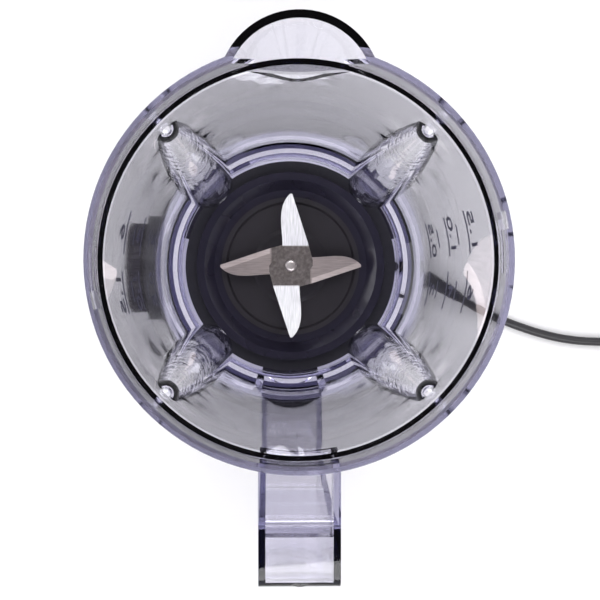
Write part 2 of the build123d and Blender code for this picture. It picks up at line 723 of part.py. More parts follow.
# ---------------------------------------------------------------- blade unit
def make_collar():
    flange_top = COLLAR_FLANGE_Z + COLLAR_FLANGE_T
    boss_r = BUSH_R + BOSS_WALL
    collar = turned([
        (BUSH_R, BOSS_FOOT_Z),
        (boss_r, BOSS_FOOT_Z),
        (boss_r, COLLAR_FLANGE_Z),
        (COLLAR_FLANGE_R - COLLAR_SKIRT_WALL, COLLAR_FLANGE_Z),
        (COLLAR_FLANGE_R - COLLAR_SKIRT_WALL, COLLAR_SKIRT_Z),
        (COLLAR_FLANGE_R, COLLAR_SKIRT_Z),
        (COLLAR_FLANGE_R, flange_top),
        (COLLAR_R, flange_top),
        (COLLAR_R, COLLAR_TOP_Z),
        (COLLAR_LAND_R, COLLAR_TOP_Z),
        (COLLAR_STEP_R, DISC_Z + DISC_T - 1),
        (DISC_R, DISC_Z + DISC_T - 1),
        (DISC_R, DISC_Z),
        (BUSH_R, DISC_Z),
    ])
    lug_low = LOCK_LUG_Z + LUG_T
    for middle in polar(LUG_COUNT):
        lug = sector(NECK_R - SLIDE_GAP, COLLAR_FLANGE_R - 1, lug_low, lug_low + LUG_T, middle, LUG_ARC)
        collar = collar + lug
    return collar


def make_gasket():
    return tube(COLLAR_FLANGE_R - 0.2, COLLAR_R, COLLAR_FLANGE_Z + COLLAR_FLANGE_T, FLOOR_Z - FLOOR_T)


def make_disc():
    """The steel dish round the spindle, with its dome hollow for the seal."""
    top = DISC_Z + DISC_T
    bore = SPINDLE_R + SLIDE_GAP
    disc = turned([
        (SEAL_R, DISC_Z),
        (DISC_R, DISC_Z),
        (DISC_R, top),
        (DISC_R - DISC_LIP_W, top),
        (DISC_R - DISC_LIP_W - 1, top - 1),
        (DOME_R, top - 1),
        (DOME_R - 2, top),
        (BUSH_R + 2, top + DOME_H),
        (bore, top + DOME_H),
        (bore, DISC_Z + SEAL_H),
        (SEAL_R, DISC_Z + SEAL_H),
    ])
    return disc


def make_spindle_bushes():
    bore = SPINDLE_R + RUN_GAP
    return [
        tube(BUSH_R, bore, BOSS_FOOT_Z, BOSS_FOOT_Z + BUSH_L),
        tube(BUSH_R, bore, DISC_Z - BUSH_L, DISC_Z),
    ]


def make_seal():
    return tube(SEAL_R, SPINDLE_R + RUN_GAP, DISC_Z, DISC_Z + SEAL_H)


def make_spindle():
    shoulder = BLADE_Z - WASHER_T
    head_z = BLADE_Z + 2 * BLADE_T
    nose = rod(SPINDLE_NOSE_R, shoulder, head_z)
    nose = nose & block(-SPINDLE_FLAT, SPINDLE_FLAT, -BUSH_R, BUSH_R, shoulder, head_z)
    head = rod(RIVET_R, head_z, head_z + RIVET_H)
    head = fillet(head.edges().sort_by(Axis.Z)[-1], RIVET_H * 0.8)
    return rod(SPINDLE_R, SPINDLE_FOOT_Z, shoulder) + nose + head


def nose_hole(z_low, z_high):
    hole = rod(SPINDLE_NOSE_R, z_low, z_high)
    return hole & block(-SPINDLE_FLAT, SPINDLE_FLAT, -BUSH_R, BUSH_R, z_low, z_high)


def make_blade_washer():
    low = BLADE_Z - WASHER_T
    return rod(WASHER_R, low, BLADE_Z) - nose_hole(low - 1, BLADE_Z + 1)


def blade_half_outline():
    """Half of a blade's outline: a straight cutting edge, the hub's corners and the other wing's back."""
    tip = BLADE_TIP_W / 2
    return [
        Line((-tip, BLADE_REACH), (tip, BLADE_REACH)),
        Line((tip, BLADE_REACH), (BLADE_ROOT, BLADE_FOLD + 1.0)),
        Line((BLADE_ROOT, BLADE_FOLD + 1.0), (BLADE_HUB, BLADE_FOLD * 0.28)),
        Line((BLADE_HUB, BLADE_FOLD * 0.28), (BLADE_HUB, 0)),
        Line((BLADE_HUB, 0), (BLADE_BACK, 0.5 - BLADE_FOLD)),
        Spline(
            (BLADE_BACK, 0.5 - BLADE_FOLD),
            (BLADE_BACK * 1.15, -BLADE_REACH * 0.62),
            (BLADE_BACK * 0.95, -BLADE_REACH * 0.84),
            (tip, -BLADE_REACH),
        ),
    ]


def blade_strip(bend):
    """The bent metal seen from the side, in the YZ plane, wider than the blade."""
    rise = math.tan(math.radians(bend))
    end = BLADE_REACH + 2
    upper_fold = BLADE_FOLD - BLADE_T * math.tan(math.radians(bend) / 2)
    right = [
        (BLADE_FOLD, 0),
        (end, (end - BLADE_FOLD) * rise),
        (end, BLADE_T + (end - upper_fold) * rise),
        (upper_fold, BLADE_T),
    ]
    left = [(-y, z) for y, z in reversed(right)]
    side = make_face(Polyline(*[(0, y, z) for y, z in right + left], close=True))
    return Pos(-BLADE_REACH, 0, 0) * extrude(side, 2 * BLADE_REACH, dir=(1, 0, 0))


def make_blade(z, bend, ground_side):
    """A blade with two opposite wings bent from its flat middle.

    The cutting edges are ground to a bevel on the upper face (ground_side 1) or the lower face (-1).
    """
    half = blade_half_outline()
    outline = Wire(half + [Rot(0, 0, 180) * edge for edge in half])
    room = BLADE_REACH
    blade = Pos(0, 0, -room) * extrude(make_face(outline), 2 * room, dir=(0, 0, 1)) & blade_strip(bend)
    for turn in (0, 180):
        blade = blade - Rot(0, 0, turn) * cutting_bevel(bend, ground_side)
    return Pos(0, 0, z) * blade


def cutting_bevel(bend, ground_side):
    """The wedge ground away along a wing's straight edge, on one of its two faces."""
    root_y = BLADE_FOLD + 1.0
    past_tip, past_edge, past_root = 8.0, 3.0, 10.0
    run = Vector(BLADE_ROOT - BLADE_TIP_W / 2, root_y - BLADE_REACH, 0).normalized()
    across = run.cross(Vector(0, 0, 1)) * -1
    start = Vector(BLADE_TIP_W / 2, BLADE_REACH, 0) - run * past_tip
    face_z = BLADE_T if ground_side > 0 else 0.0
    face = Vector(0, 0, face_z)
    slope = Vector(0, 0, ground_side * BEVEL_DEPTH / BEVEL_W)
    wedge = make_face(Polyline(
        start - across * BEVEL_W + face,
        start + across * past_edge + face + slope * past_edge,
        start + across * past_edge + face - slope * (BEVEL_W + past_edge),
        close=True,
    ))
    wedge = extrude(wedge, BLADE_REACH + past_root, dir=run)
    wedge = Pos(0, BLADE_FOLD, face_z) * Rot(bend, 0, 0) * Pos(0, -BLADE_FOLD, -face_z) * wedge
    reach = BLADE_REACH
    beyond_fold = block(-reach, reach, BLADE_FOLD + 0.6, 2 * reach, -reach, reach)
    return wedge & beyond_fold


def make_upper_blade():
    low = BLADE_Z + BLADE_T
    return Rot(0, 0, 90) * make_blade(low, UPPER_BEND, -1) - nose_hole(low - 1, low + BLADE_T + 1)


def make_lower_blade():
    return make_blade(BLADE_Z, -LOWER_BEND, 1) - nose_hole(BLADE_Z - 1, BLADE_Z + BLADE_T + 1)


def make_driven_coupling():
    web_low = DRIVEN_TOP_Z - DRIVEN_WEB_T
    cup_r = DRIVEN_R - DRIVEN_WALL
    driven = rod(DRIVEN_R, web_low, DRIVEN_TOP_Z) + tube(DRIVEN_R, cup_r, DRIVEN_FOOT_Z, web_low)
    for middle in polar(TOOTH_COUNT, FULL / TOOTH_COUNT / 2):
        driven = driven + sector(cup_r + 1, DRIVEN_TOOTH_R, DRIVEN_FOOT_Z, web_low + 1, middle, TOOTH_ARC)
    return driven - rod(SPINDLE_R, DRIVEN_FOOT_Z - 1, DRIVEN_TOP_Z + 1)


# ---------------------------------------------------------------- jar seat and interlock
def make_seat():
    """The raised ring on the deck that the jar drops over, notched for the jar's keys."""
    outer = HEEL_R - JAR_WALL - MOULD_GAP * 1.5
    seat = tube(outer, SEAT_INNER_R, DECK_Z, DECK_Z + SEAT_H)
    seat = chamfer(seat.edges().filter_by(GeomType.CIRCLE).sort_by(Axis.Z)[-2:], 0.8)
    notch_inner = KEY_INNER_R - MOULD_GAP
    for middle in polar(KEY_COUNT, KEY_ANGLE):
        notch_arc = KEY_ARC + 1.5
        seat = seat - sector(outer + 2, notch_inner, DECK_Z - 1, DECK_Z + SEAT_H + 1, middle, notch_arc)
    return seat - rod(PIN_R + SLIDE_GAP, DECK_Z - 1, DECK_Z + SEAT_H + 1, 0, PIN_AT)


def make_pin():
    pin = rod(PIN_R, PIN_FOOT_Z, PIN_TOP_Z, 0, PIN_AT)
    return pin + rod(PIN_FLANGE_R, PIN_FLANGE_Z, PIN_FLANGE_Z + PIN_FLANGE_T, 0, PIN_AT)


def make_guide():
    top = DECK_Z - BASE_WALL
    room_top = PIN_FLANGE_Z + PIN_FLANGE_T + PIN_TRAVEL + SLIDE_GAP
    guide = rod(GUIDE_R, GUIDE_FOOT_Z, top, 0, PIN_AT)
    plate_y = PIN_AT + SWITCH_W / 2
    plate = block(-GUIDE_PLATE_W / 2, GUIDE_PLATE_W / 2, plate_y, plate_y + GUIDE_PLATE_T,
                  SWITCH_TOP_Z - SWITCH_H, GUIDE_FOOT_Z + GUIDE_FLOOR_T)
    shelf = block(-GUIDE_PLATE_W / 2, GUIDE_PLATE_W / 2, PIN_AT, plate_y + GUIDE_PLATE_T,
                  GUIDE_FOOT_Z, GUIDE_FOOT_Z + GUIDE_FLOOR_T)
    guide = guide + plate + shelf
    guide = guide - rod(PIN_FLANGE_R + SLIDE_GAP, GUIDE_FOOT_Z + GUIDE_FLOOR_T, room_top, 0, PIN_AT)
    return guide - rod(PIN_R + SLIDE_GAP, GUIDE_FOOT_Z - 1, top + 1, 0, PIN_AT)


def make_spring():
    foot = GUIDE_FOOT_Z + GUIDE_FLOOR_T + SPRING_WIRE_R
    path = Helix(SPRING_PITCH, SPRING_PITCH * SPRING_TURNS, SPRING_R)
    wire = sweep(Plane(path @ 0, z_dir=path % 0) * Circle(SPRING_WIRE_R), path)
    return Pos(0, PIN_AT, foot) * wire


def make_interlock_switch():
    body = block(-SWITCH_L / 2, SWITCH_L / 2, PIN_AT - SWITCH_W / 2, PIN_AT + SWITCH_W / 2,
                 SWITCH_TOP_Z - SWITCH_H, SWITCH_TOP_Z)
    return body + rod(SWITCH_BUTTON_R, SWITCH_TOP_Z, PIN_FOOT_Z, 0, PIN_AT)


# ---------------------------------------------------------------- motor
def make_stator():
    plan = RectangleRounded(STATOR_W, STATOR_W, STATOR_CORNER_R) - Circle(ARMATURE_R + AIR_GAP)
    for x, y in square(TIE_AT):
        plan = plan - Pos(x, y) * Circle(TIE_R)
    core = Pos(0, 0, STACK_Z) * extrude(plan, STACK_H)
    for sx in (-1, 1):
        for sy in (-1, 1):
            core = core - field_leg(sx, sy, STACK_Z - 1, STACK_Z + STACK_H + 1)
    return core


def field_leg(sx, sy, z_low, z_high):
    """One upright side of a field winding, in its window of the stator."""
    xs = sorted(sx * v for v in FIELD_X)
    ys = sorted(sy * v for v in FIELD_Y)
    return block(xs[0], xs[1], ys[0], ys[1], z_low, z_high)


def make_field_windings():
    windings = []
    low, high = STACK_Z - WINDING_H, STACK_Z + STACK_H + WINDING_H
    for sy in (-1, 1):
        ys = sorted(sy * v for v in FIELD_Y)
        loop = block(-FIELD_X[1], FIELD_X[1], ys[0], ys[1], low, high)
        loop = loop - block(-FIELD_X[0], FIELD_X[0], ys[0] - 1, ys[1] + 1, STACK_Z, STACK_Z + STACK_H)
        windings.append(loop)
    return windings


def make_bracket(z):
    """A bearing bracket with windows between its arms."""
    plan = RectangleRounded(BRACKET_W, BRACKET_W, STATOR_CORNER_R)
    for angle in polar(4):
        window = Pos(BRACKET_W * 0.3, 0) * RectangleRounded(BRACKET_W * 0.2, BRACKET_W * 0.4, 3)
        plan = plan - Rot(0, 0, angle) * window
    plan = plan - Circle(MOTOR_BUSH_R)
    for x, y in square(TIE_AT):
        plan = plan - Pos(x, y) * Circle(TIE_R)
    return Pos(0, 0, z) * extrude(plan, BRACKET_T)


def make_upper_bracket():
    bracket = make_bracket(UPPER_BRACKET_Z)
    for x, y in square(POST_AT):
        bracket = bracket - rod(SCREW_R, UPPER_BRACKET_Z - 1, UPPER_BRACKET_Z + BRACKET_T + 1, x, y)
    return bracket


def make_lower_bracket():
    return make_bracket(LOWER_BRACKET_Z)


def make_motor_bushes():
    bore = SHAFT_R + RUN_GAP
    lower_top = LOWER_BRACKET_Z + BRACKET_T
    return [
        tube(MOTOR_BUSH_R, bore, UPPER_BRACKET_Z, UPPER_BRACKET_Z + MOTOR_BUSH_L),
        tube(MOTOR_BUSH_R, bore, lower_top - MOTOR_BUSH_L, lower_top),
    ]


def make_tie_bolts():
    bolts = []
    top = UPPER_BRACKET_Z + BRACKET_T
    for x, y in square(TIE_AT):
        shank = rod(TIE_R, LOWER_BRACKET_Z, top + 3, x, y)
        head = rod(TIE_R * 2, LOWER_BRACKET_Z - 2, LOWER_BRACKET_Z, x, y)
        bolts.append(shank + head)
    return bolts


def make_tie_nuts():
    top = UPPER_BRACKET_Z + BRACKET_T
    hexagon = RegularPolygon(TIE_R * 1.9, 6) - Circle(TIE_R)
    return [Pos(x, y, top) * extrude(hexagon, 2.4) for x, y in square(TIE_AT)]


def make_spacers():
    spacers = []
    for x, y in square(TIE_AT):
        spacers.append(tube_at(LOWER_BRACKET_Z + BRACKET_T, STACK_Z, x, y))
        spacers.append(tube_at(STACK_Z + STACK_H, UPPER_BRACKET_Z, x, y))
    return spacers


def tube_at(z_low, z_high, x, y):
    return tube(SPACER_R, TIE_R, z_low, z_high, x, y)


def make_grommets():
    low = UPPER_BRACKET_Z + BRACKET_T
    return [tube(GROMMET_R, SCREW_R, low, low + GROMMET_H, x, y) for x, y in square(POST_AT)]


def make_motor_screws():
    tip = POST_FOOT_Z + SCREW_BITE - 1
    return [screw(x, y, UPPER_BRACKET_Z, tip) for x, y in square(POST_AT)]


def make_brush_holders():
    """Boxes under the upper bracket, each with a straight channel for its brush."""
    holders = []
    half_w, half_h = BRUSH_W / 2, BRUSH_H / 2
    for turn in (0, 180):
        body = block(COMMUTATOR_R + 2, HOLDER_OUT, -half_w - HOLDER_WALL, half_w + HOLDER_WALL,
                     BRUSH_Z - half_h - HOLDER_WALL, UPPER_BRACKET_Z)
        channel = block(0, HOLDER_OUT - HOLDER_WALL, -half_w, half_w, BRUSH_Z - half_h, BRUSH_Z + half_h)
        holders.append(Rot(0, 0, turn) * (body - channel))
    return holders


def make_brushes():
    brushes = []
    half_w, half_h = BRUSH_W / 2, BRUSH_H / 2
    for turn in (0, 180):
        brush = block(0, BRUSH_OUT, -half_w, half_w, BRUSH_Z - half_h, BRUSH_Z + half_h)
        brush = brush - rod(COMMUTATOR_R + SLIDE_GAP, BRUSH_Z - BRUSH_H, BRUSH_Z + BRUSH_H)
        brushes.append(Rot(0, 0, turn) * brush)
    return brushes


def make_motor_shaft():
    return rod(SHAFT_R, SHAFT_FOOT_Z, MOTOR_SHAFT_TOP_Z)


def make_armature():
    plan = Circle(ARMATURE_R) - Circle(SHAFT_R)
    room = SLOT_TO - SLOT_FROM
    for angle in polar(SLOT_COUNT):
        slot = Pos(SLOT_FROM + room / 2, 0) * Rectangle(room, SLOT_W)
        mouth = Pos(ARMATURE_R, 0) * Rectangle(2 * (ARMATURE_R - SLOT_TO) + 0.2, SLOT_MOUTH)
        plan = plan - Rot(0, 0, angle) * (slot + mouth)
    return Pos(0, 0, STACK_Z) * extrude(plan, STACK_H)


def make_armature_winding():
    top = STACK_Z + STACK_H
    winding = tube(WINDING_R, WINDING_CORE_R, STACK_Z - WINDING_H, STACK_Z)
    winding = winding + tube(WINDING_R, WINDING_CORE_R, top, top + WINDING_H)
    for angle in polar(SLOT_COUNT):
        bar = block(SLOT_FROM, SLOT_TO, -SLOT_W / 2, SLOT_W / 2, STACK_Z, top)
        winding = winding + Rot(0, 0, angle) * bar
    return winding


def make_commutator():
    plan = Circle(COMMUTATOR_R) - Circle(SHAFT_R)
    for angle in polar(SLOT_COUNT * 2):
        plan = plan - Rot(0, 0, angle) * Pos(COMMUTATOR_R, 0) * Rectangle(1.6, 0.4)
    return Pos(0, 0, COMMUTATOR_Z) * extrude(plan, COMMUTATOR_H)


def make_fan():
    fan = tube(SHAFT_R * 2, SHAFT_R, FAN_Z, FAN_Z + FAN_H) + tube(FAN_R, SHAFT_R, FAN_Z, FAN_Z + 1.6)
    for angle in polar(FAN_BLADES):
        blade = block(SHAFT_R * 2 - 1, FAN_R - 0.4, -0.7, 0.7, FAN_Z + 1, FAN_Z + FAN_H)
        fan = fan + Rot(0, 0, angle) * blade
    return fan


def make_drive_coupling():
    disc_top = COUPLING_Z + COUPLING_DISC_T
    drive = rod(COUPLING_HUB_R, COUPLING_HUB_Z, COUPLING_BORE_TOP_Z)
    drive = drive + rod(COUPLING_DISC_R, COUPLING_Z, disc_top)
    for middle in polar(TOOTH_COUNT):
        inner = COUPLING_HUB_R - 1
        drive = drive + sector(COUPLING_TOOTH_R, inner, disc_top - 1, COUPLING_TOP_Z, middle, TOOTH_ARC)
    return drive - rod(SHAFT_R, COUPLING_HUB_Z - 1, MOTOR_SHAFT_TOP_Z)


# ---------------------------------------------------------------- control knob
def make_front_panel():
    """A thin plate that follows the housing's front."""
    room = block(-PANEL_W / 2, PANEL_W / 2, -2 * SKIRT_HALF, -DECK_HALF / 2, *PANEL_Z)
    panel = base_body(-PANEL_T, FOOT_HEIGHT, DECK_Z) - base_body(0, FOOT_HEIGHT - 1e-3, DECK_Z + 1e-3)
    panel = panel & room
    return panel - front_rod(SELECTOR_NECK_R + SEAT_GAP, SELECTOR_FACE, KNOB_FACE)


def make_dial_ring():
    """The flat-faced ring behind the knob; its back follows the panel."""
    ring = front_rod(DIAL_R, SELECTOR_FACE, DIAL_FACE) - base_body(-PANEL_T, FOOT_HEIGHT, DECK_Z)
    return ring - front_rod(SELECTOR_NECK_R + SEAT_GAP, SELECTOR_FACE, KNOB_FACE)


def make_selector():
    body = block(-SELECTOR_W / 2, SELECTOR_W / 2, -SELECTOR_FACE, -SELECTOR_FACE + SELECTOR_L,
                 KNOB_Z - SELECTOR_W / 2, KNOB_Z + SELECTOR_W / 2)
    neck = front_rod(SELECTOR_NECK_R, SELECTOR_FACE, DIAL_FACE + NUT_T)
    return body + neck - front_rod(KNOB_SHAFT_R + RUN_GAP, SELECTOR_FACE - KNOB_SHAFT_BACK - 1, KNOB_FACE)


def make_selector_nut():
    plan = RegularPolygon(NUT_R, 6) - Circle(SELECTOR_NECK_R)
    return Pos(0, 0, KNOB_Z) * Rot(90, 0, 0) * Pos(0, 0, DIAL_FACE) * extrude(plan, NUT_T)


def make_knob_shaft():
    shaft = front_rod(KNOB_SHAFT_R, SELECTOR_FACE - KNOB_SHAFT_BACK, DIAL_FACE + KNOB_SHAFT_TIP)
    flat = block(-KNOB_R, KNOB_R, -KNOB_FACE, -KNOB_HUB_BACK, KNOB_Z + KNOB_SHAFT_FLAT, KNOB_Z + KNOB_R)
    return shaft - flat


def make_knob():
    plan = Circle(KNOB_R)
    for angle in polar(KNOB_FLUTES):
        plan = plan - Rot(0, 0, angle) * Pos(KNOB_R + KNOB_FLUTE_R * 0.35, 0) * Circle(KNOB_FLUTE_R)
    lip = KNOB_FACE - KNOB_EDGE_R
    knob = front_pose(KNOB_BACK) * extrude(plan, lip - KNOB_BACK)
    cap = front_rod(KNOB_R - KNOB_FLUTE_R, lip, KNOB_FACE)
    knob = knob + chamfer(cap.faces().sort_by(Axis.Y)[0].edges(), KNOB_EDGE_R * 0.9)
    knob = knob - front_rod(KNOB_R - KNOB_WALL, KNOB_BACK - 1, KNOB_FACE - KNOB_WALL)
    knob = knob + front_rod(KNOB_HUB_R, KNOB_HUB_BACK, KNOB_FACE - KNOB_WALL / 2)
    knob = knob - make_knob_shaft()
    width, length, height = KNOB_MARK
    low = KNOB_Z + KNOB_R - KNOB_FLUTE_R - 3 - length
    return knob + block(-width / 2, width / 2, -KNOB_FACE - height, -KNOB_FACE + 0.5, low, low + length)


def front_pose(distance):
    """A plane on the knob's axis, facing away from the motor."""
    return Pos(0, 0, KNOB_Z) * Rot(90, 0, 0) * Pos(0, 0, distance)


# ---------------------------------------------------------------- mains lead
def make_sleeve():
    """Tapered strain relief, its flange behind the wall of the base."""
    body = turned([
        (CORD_R, -GLAND_GRIP - SLEEVE_FLANGE_T),
        (SLEEVE_FLANGE_R, -GLAND_GRIP - SLEEVE_FLANGE_T),
        (SLEEVE_FLANGE_R, -GLAND_GRIP),
        (SLEEVE_BIG_R, -GLAND_GRIP),
        (SLEEVE_BIG_R, GLAND_GRIP),
        (SLEEVE_SMALL_R, SLEEVE_L),
        (CORD_R, SLEEVE_L),
    ])
    return sleeve_frame() * body


def sleeve_point(distance):
    """A point on the sleeve's axis."""
    turn, drop = math.radians(SLEEVE_TURN), math.radians(SLEEVE_DROP)
    level = distance * math.cos(drop)
    x, y, z = SLEEVE_AT
    return (x + level * math.sin(turn), y + level * math.cos(turn), z - distance * math.sin(drop))


def cord_route():
    """Corner points of the lead from inside the base to where it joins the coil."""
    coil_x, coil_y = COIL_AT
    entry_x = coil_x + COIL_MID_R + COIL_W / 2 - CORD_R
    sag_x, sag_y, _ = sleeve_point(SLEEVE_L + CORD_SAG_AT)
    turn = math.radians(SLEEVE_TURN)
    return [
        sleeve_point(-CORD_START),
        sleeve_point(SLEEVE_L + CORD_SAG_AT),
        (sag_x + CORD_SAG_RUN * math.sin(turn), sag_y + CORD_SAG_RUN * math.cos(turn), CORD_R),
        (entry_x - 1.5, coil_y - 68.0, CORD_R),
        (entry_x, coil_y - 33.0, CORD_R),
        (entry_x, coil_y, CORD_R),
    ]


def corner_radii(points):
    """A bend radius for each corner, as large as the straight runs beside it allow."""
    radii = []
    for before, here, after in zip(points, points[1:], points[2:]):
        arriving = Vector(*here) - Vector(*before)
        leaving = Vector(*after) - Vector(*here)
        half_turn = math.radians(arriving.get_angle(leaving)) / 2
        radii.append(CORD_SHARE * min(arriving.length, leaving.length) / math.tan(half_turn))
    return radii


def cord_tube(points, radii):
    """A round lead along straight runs joined by arcs."""
    path = FilletPolyline(*points, radius=radii) if radii else Line(*points)
    print("lead bend radii", [round(r, 1) for r in radii], "length", round(path.length, 1))
    tube_shape = sweep(Plane(path @ 0, z_dir=path % 0) * Circle(CORD_R), path)
    print("lead volume", round(tube_shape.volume, 1), "section times length",
          round(math.pi * CORD_R**2 * path.length, 1))
    return tube_shape


def make_cord():
    points = cord_route()
    return cord_tube(points, corner_radii(points))


def make_coil():
    """The outer shape of the wound length, lying on the table."""
    half = COIL_W / 2
    coil = tube(COIL_MID_R + half, COIL_MID_R - half, 0, COIL_H, *COIL_AT)
    return fillet(coil.edges().filter_by(GeomType.CIRCLE), COIL_EDGE_R)


def tail_line():
    """The last straight of the lead, from the coil's outer turn to the plug."""
    coil_x, coil_y = COIL_AT
    tail_y = coil_y + COIL_MID_R + COIL_W / 2 - CORD_R
    return [(coil_x, tail_y, PLUG_H / 2), (coil_x + PLUG_AT, tail_y, PLUG_H / 2)]


def make_tail():
    return cord_tube(tail_line(), [])


def make_plug():
    """A flat two-pin plug lying on the table, its lead entering from +X."""
    x, y, z = tail_line()[-1]
    plan = Pos(x - PLUG_L, y) * Polygon(
        (0, -PLUG_W / 2), (PLUG_L * 0.45, -PLUG_W / 2), (PLUG_L * 0.85, -PLUG_NECK_R * 1.3),
        (PLUG_L, -PLUG_NECK_R), (PLUG_L, PLUG_NECK_R), (PLUG_L * 0.85, PLUG_NECK_R * 1.3),
        (PLUG_L * 0.45, PLUG_W / 2), (0, PLUG_W / 2), align=None)
    body = extrude(plan, PLUG_H)
    body = fillet(body.edges().filter_by(Axis.Z), 1.8)
    body = chamfer(body.faces().filter_by(Axis.Z).edges(), 1.0)
    for pin in make_plug_pins():
        body = body - pin
    return body


def make_plug_pins():
    x, y, z = tail_line()[-1]
    pins = []
    for side in (-1, 1):
        pin = Rot(0, -90, 0) * rod(PLUG_PIN_R, 0, PLUG_PIN_L + PLUG_PIN_GRIP)
        pin = fillet(pin.edges().sort_by(Axis.X)[0], PLUG_PIN_R * 0.7)
        pins.append(Pos(x - PLUG_L + PLUG_PIN_GRIP, y + side * PLUG_PIN_PITCH / 2, z) * pin)
    return pins


def make_clamp():
    """The bar that holds the lead down on its pedestal."""
    bar = block(-CLAMP_W / 2, CLAMP_W / 2, -CLAMP_BAR_T, 0, *CLAMP_AT) - rod(CORD_R, -CORD_START, 0)
    bar = sleeve_frame() * bar
    for side in (-1, 1):
        bar = bar - clamp_hole(side, -CLAMP_BAR_T - 1, 1)
    return bar


def make_clamp_screws():
    middle = (CLAMP_AT[0] + CLAMP_AT[1]) / 2
    screws = []
    for side in (-1, 1):
        pose = sleeve_frame() * Pos(side * CLAMP_SCREW_AT, 0, middle) * Rot(-90, 0, 0)
        screws.append(pose * screw(0, 0, -CLAMP_BAR_T, CLAMP_SCREW_BITE - 1))
    return screws


def make_terminal_block():
    """Screw terminals where the lead's wires end."""
    length, depth, height = TERMINAL
    x, y = TERMINAL_AT
    low = FOOT_HEIGHT + COVER_T
    body = block(x - length / 2, x + length / 2, y - depth / 2, y + depth / 2, low, low + height)
    for i in range(TERMINAL_WAYS):
        way = x + (i - (TERMINAL_WAYS - 1) / 2) * length / TERMINAL_WAYS
        body = body - rod(TERMINAL_HOLE_R, low + height - 6, low + height + 1, way, y)
        body = body - Pos(way, 0, low + height / 2) * Rot(-90, 0, 0) * rod(TERMINAL_HOLE_R, 0, DECK_Z)
    return body


PIECES = {
    "base_housing": make_housing,
    "base_cover": make_cover,
    "foot_ring": make_foot,
    "cover_screws": make_cover_screws,
    "front_panel": make_front_panel,
    "dial_ring": make_dial_ring,
    "selector_switch": make_selector,
    "selector_nut": make_selector_nut,
    "knob_shaft": make_knob_shaft,
    "control_knob": make_knob,
    "jar_seat": make_seat,
    "interlock_guide": make_guide,
    "interlock_spring": make_spring,
    "interlock_switch": make_interlock_switch,
    "interlock_pin": make_pin,
    "stator_core": make_stator,
    "field_windings": make_field_windings,
    "upper_bracket": make_upper_bracket,
    "lower_bracket": make_lower_bracket,
    "motor_bushes": make_motor_bushes,
    "tie_bolts": make_tie_bolts,
    "tie_nuts": make_tie_nuts,
    "stator_spacers": make_spacers,
    "motor_grommets": make_grommets,
    "motor_screws": make_motor_screws,
    "brush_holders": make_brush_holders,
    "carbon_brushes": make_brushes,
    "motor_shaft": make_motor_shaft,
    "armature_core": make_armature,
    "armature_winding": make_armature_winding,
    "commutator": make_commutator,
    "cooling_fan": make_fan,
    "drive_coupling": make_drive_coupling,
    "jar_body": make_jar,
    "jar_handle": make_handle,
    "blade_collar": make_collar,
    "collar_gasket": make_gasket,
    "collar_disc": make_disc,
    "spindle_bushes": make_spindle_bushes,
    "spindle_seal": make_seal,
    "spindle": make_spindle,
    "blade_washer": make_blade_washer,
    "lower_blade": make_lower_blade,
    "upper_blade": make_upper_blade,
    "driven_coupling": make_driven_coupling,
    "cord_sleeve": make_sleeve,
    "cord_clamp": make_clamp,
    "clamp_screws": make_clamp_screws,
    "terminal_block": make_terminal_block,
    "cord_tube": make_cord,
    "cord_coil": make_coil,
    "cord_tail": make_tail,
    "plug_body": make_plug,
    "plug_pins": make_plug_pins,
}

if __name__ == "__main__":
    os.makedirs("parts", exist_ok=True)
    for name, make in PIECES.items():
        save(name, make())
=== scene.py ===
"""Looks for the countertop blender: camera, lights, mains lead, materials and fine detail."""
import math

import bmesh
import bpy
from mathutils import Matrix, Vector


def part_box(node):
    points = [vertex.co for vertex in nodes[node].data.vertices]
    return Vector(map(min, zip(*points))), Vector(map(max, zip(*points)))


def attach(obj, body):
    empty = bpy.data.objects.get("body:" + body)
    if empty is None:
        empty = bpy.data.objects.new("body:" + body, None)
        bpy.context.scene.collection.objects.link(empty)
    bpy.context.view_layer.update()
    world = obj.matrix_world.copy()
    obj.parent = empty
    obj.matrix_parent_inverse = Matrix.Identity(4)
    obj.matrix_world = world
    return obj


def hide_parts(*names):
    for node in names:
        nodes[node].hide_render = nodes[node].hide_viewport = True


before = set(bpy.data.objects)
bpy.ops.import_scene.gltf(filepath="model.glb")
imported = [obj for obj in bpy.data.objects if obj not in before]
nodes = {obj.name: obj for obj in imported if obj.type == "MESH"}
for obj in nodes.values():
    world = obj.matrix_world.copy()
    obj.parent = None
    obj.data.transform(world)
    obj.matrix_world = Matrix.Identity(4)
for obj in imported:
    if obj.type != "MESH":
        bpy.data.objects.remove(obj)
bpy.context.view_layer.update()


# ---------------------------------------------------------------- materials
COAT_ROUGHNESS = 0.08
DRIFT_SCALE = 18.0         # slow colour drift over a moulding
FLOW_SCALE = 35.0          # faint flow ripples in the clear plastic
FLOW_SHADE = 0.985
MIX_FACTOR, MIX_A, MIX_B, MIX_RESULT = 0, 6, 7, 2   # a colour Mix node's sockets


def material(name, **inputs):
    """A node material with its Principled sockets set directly."""
    mat = bpy.data.materials.new(name)
    mat.use_nodes = True
    shader = mat.node_tree.nodes["Principled BSDF"]
    for key, value in inputs.items():
        shader.inputs[key.replace("_", " ")].default_value = value
    return mat


def add(mat, kind, **settings):
    """A new node in a material."""
    node = mat.node_tree.nodes.new(kind)
    for key, value in settings.items():
        setattr(node, key, value)
    return node


def link(mat, source, output, target, socket):
    """Joins a node's output to another node's input."""
    mat.node_tree.links.new(source.outputs[output], target.inputs[socket])


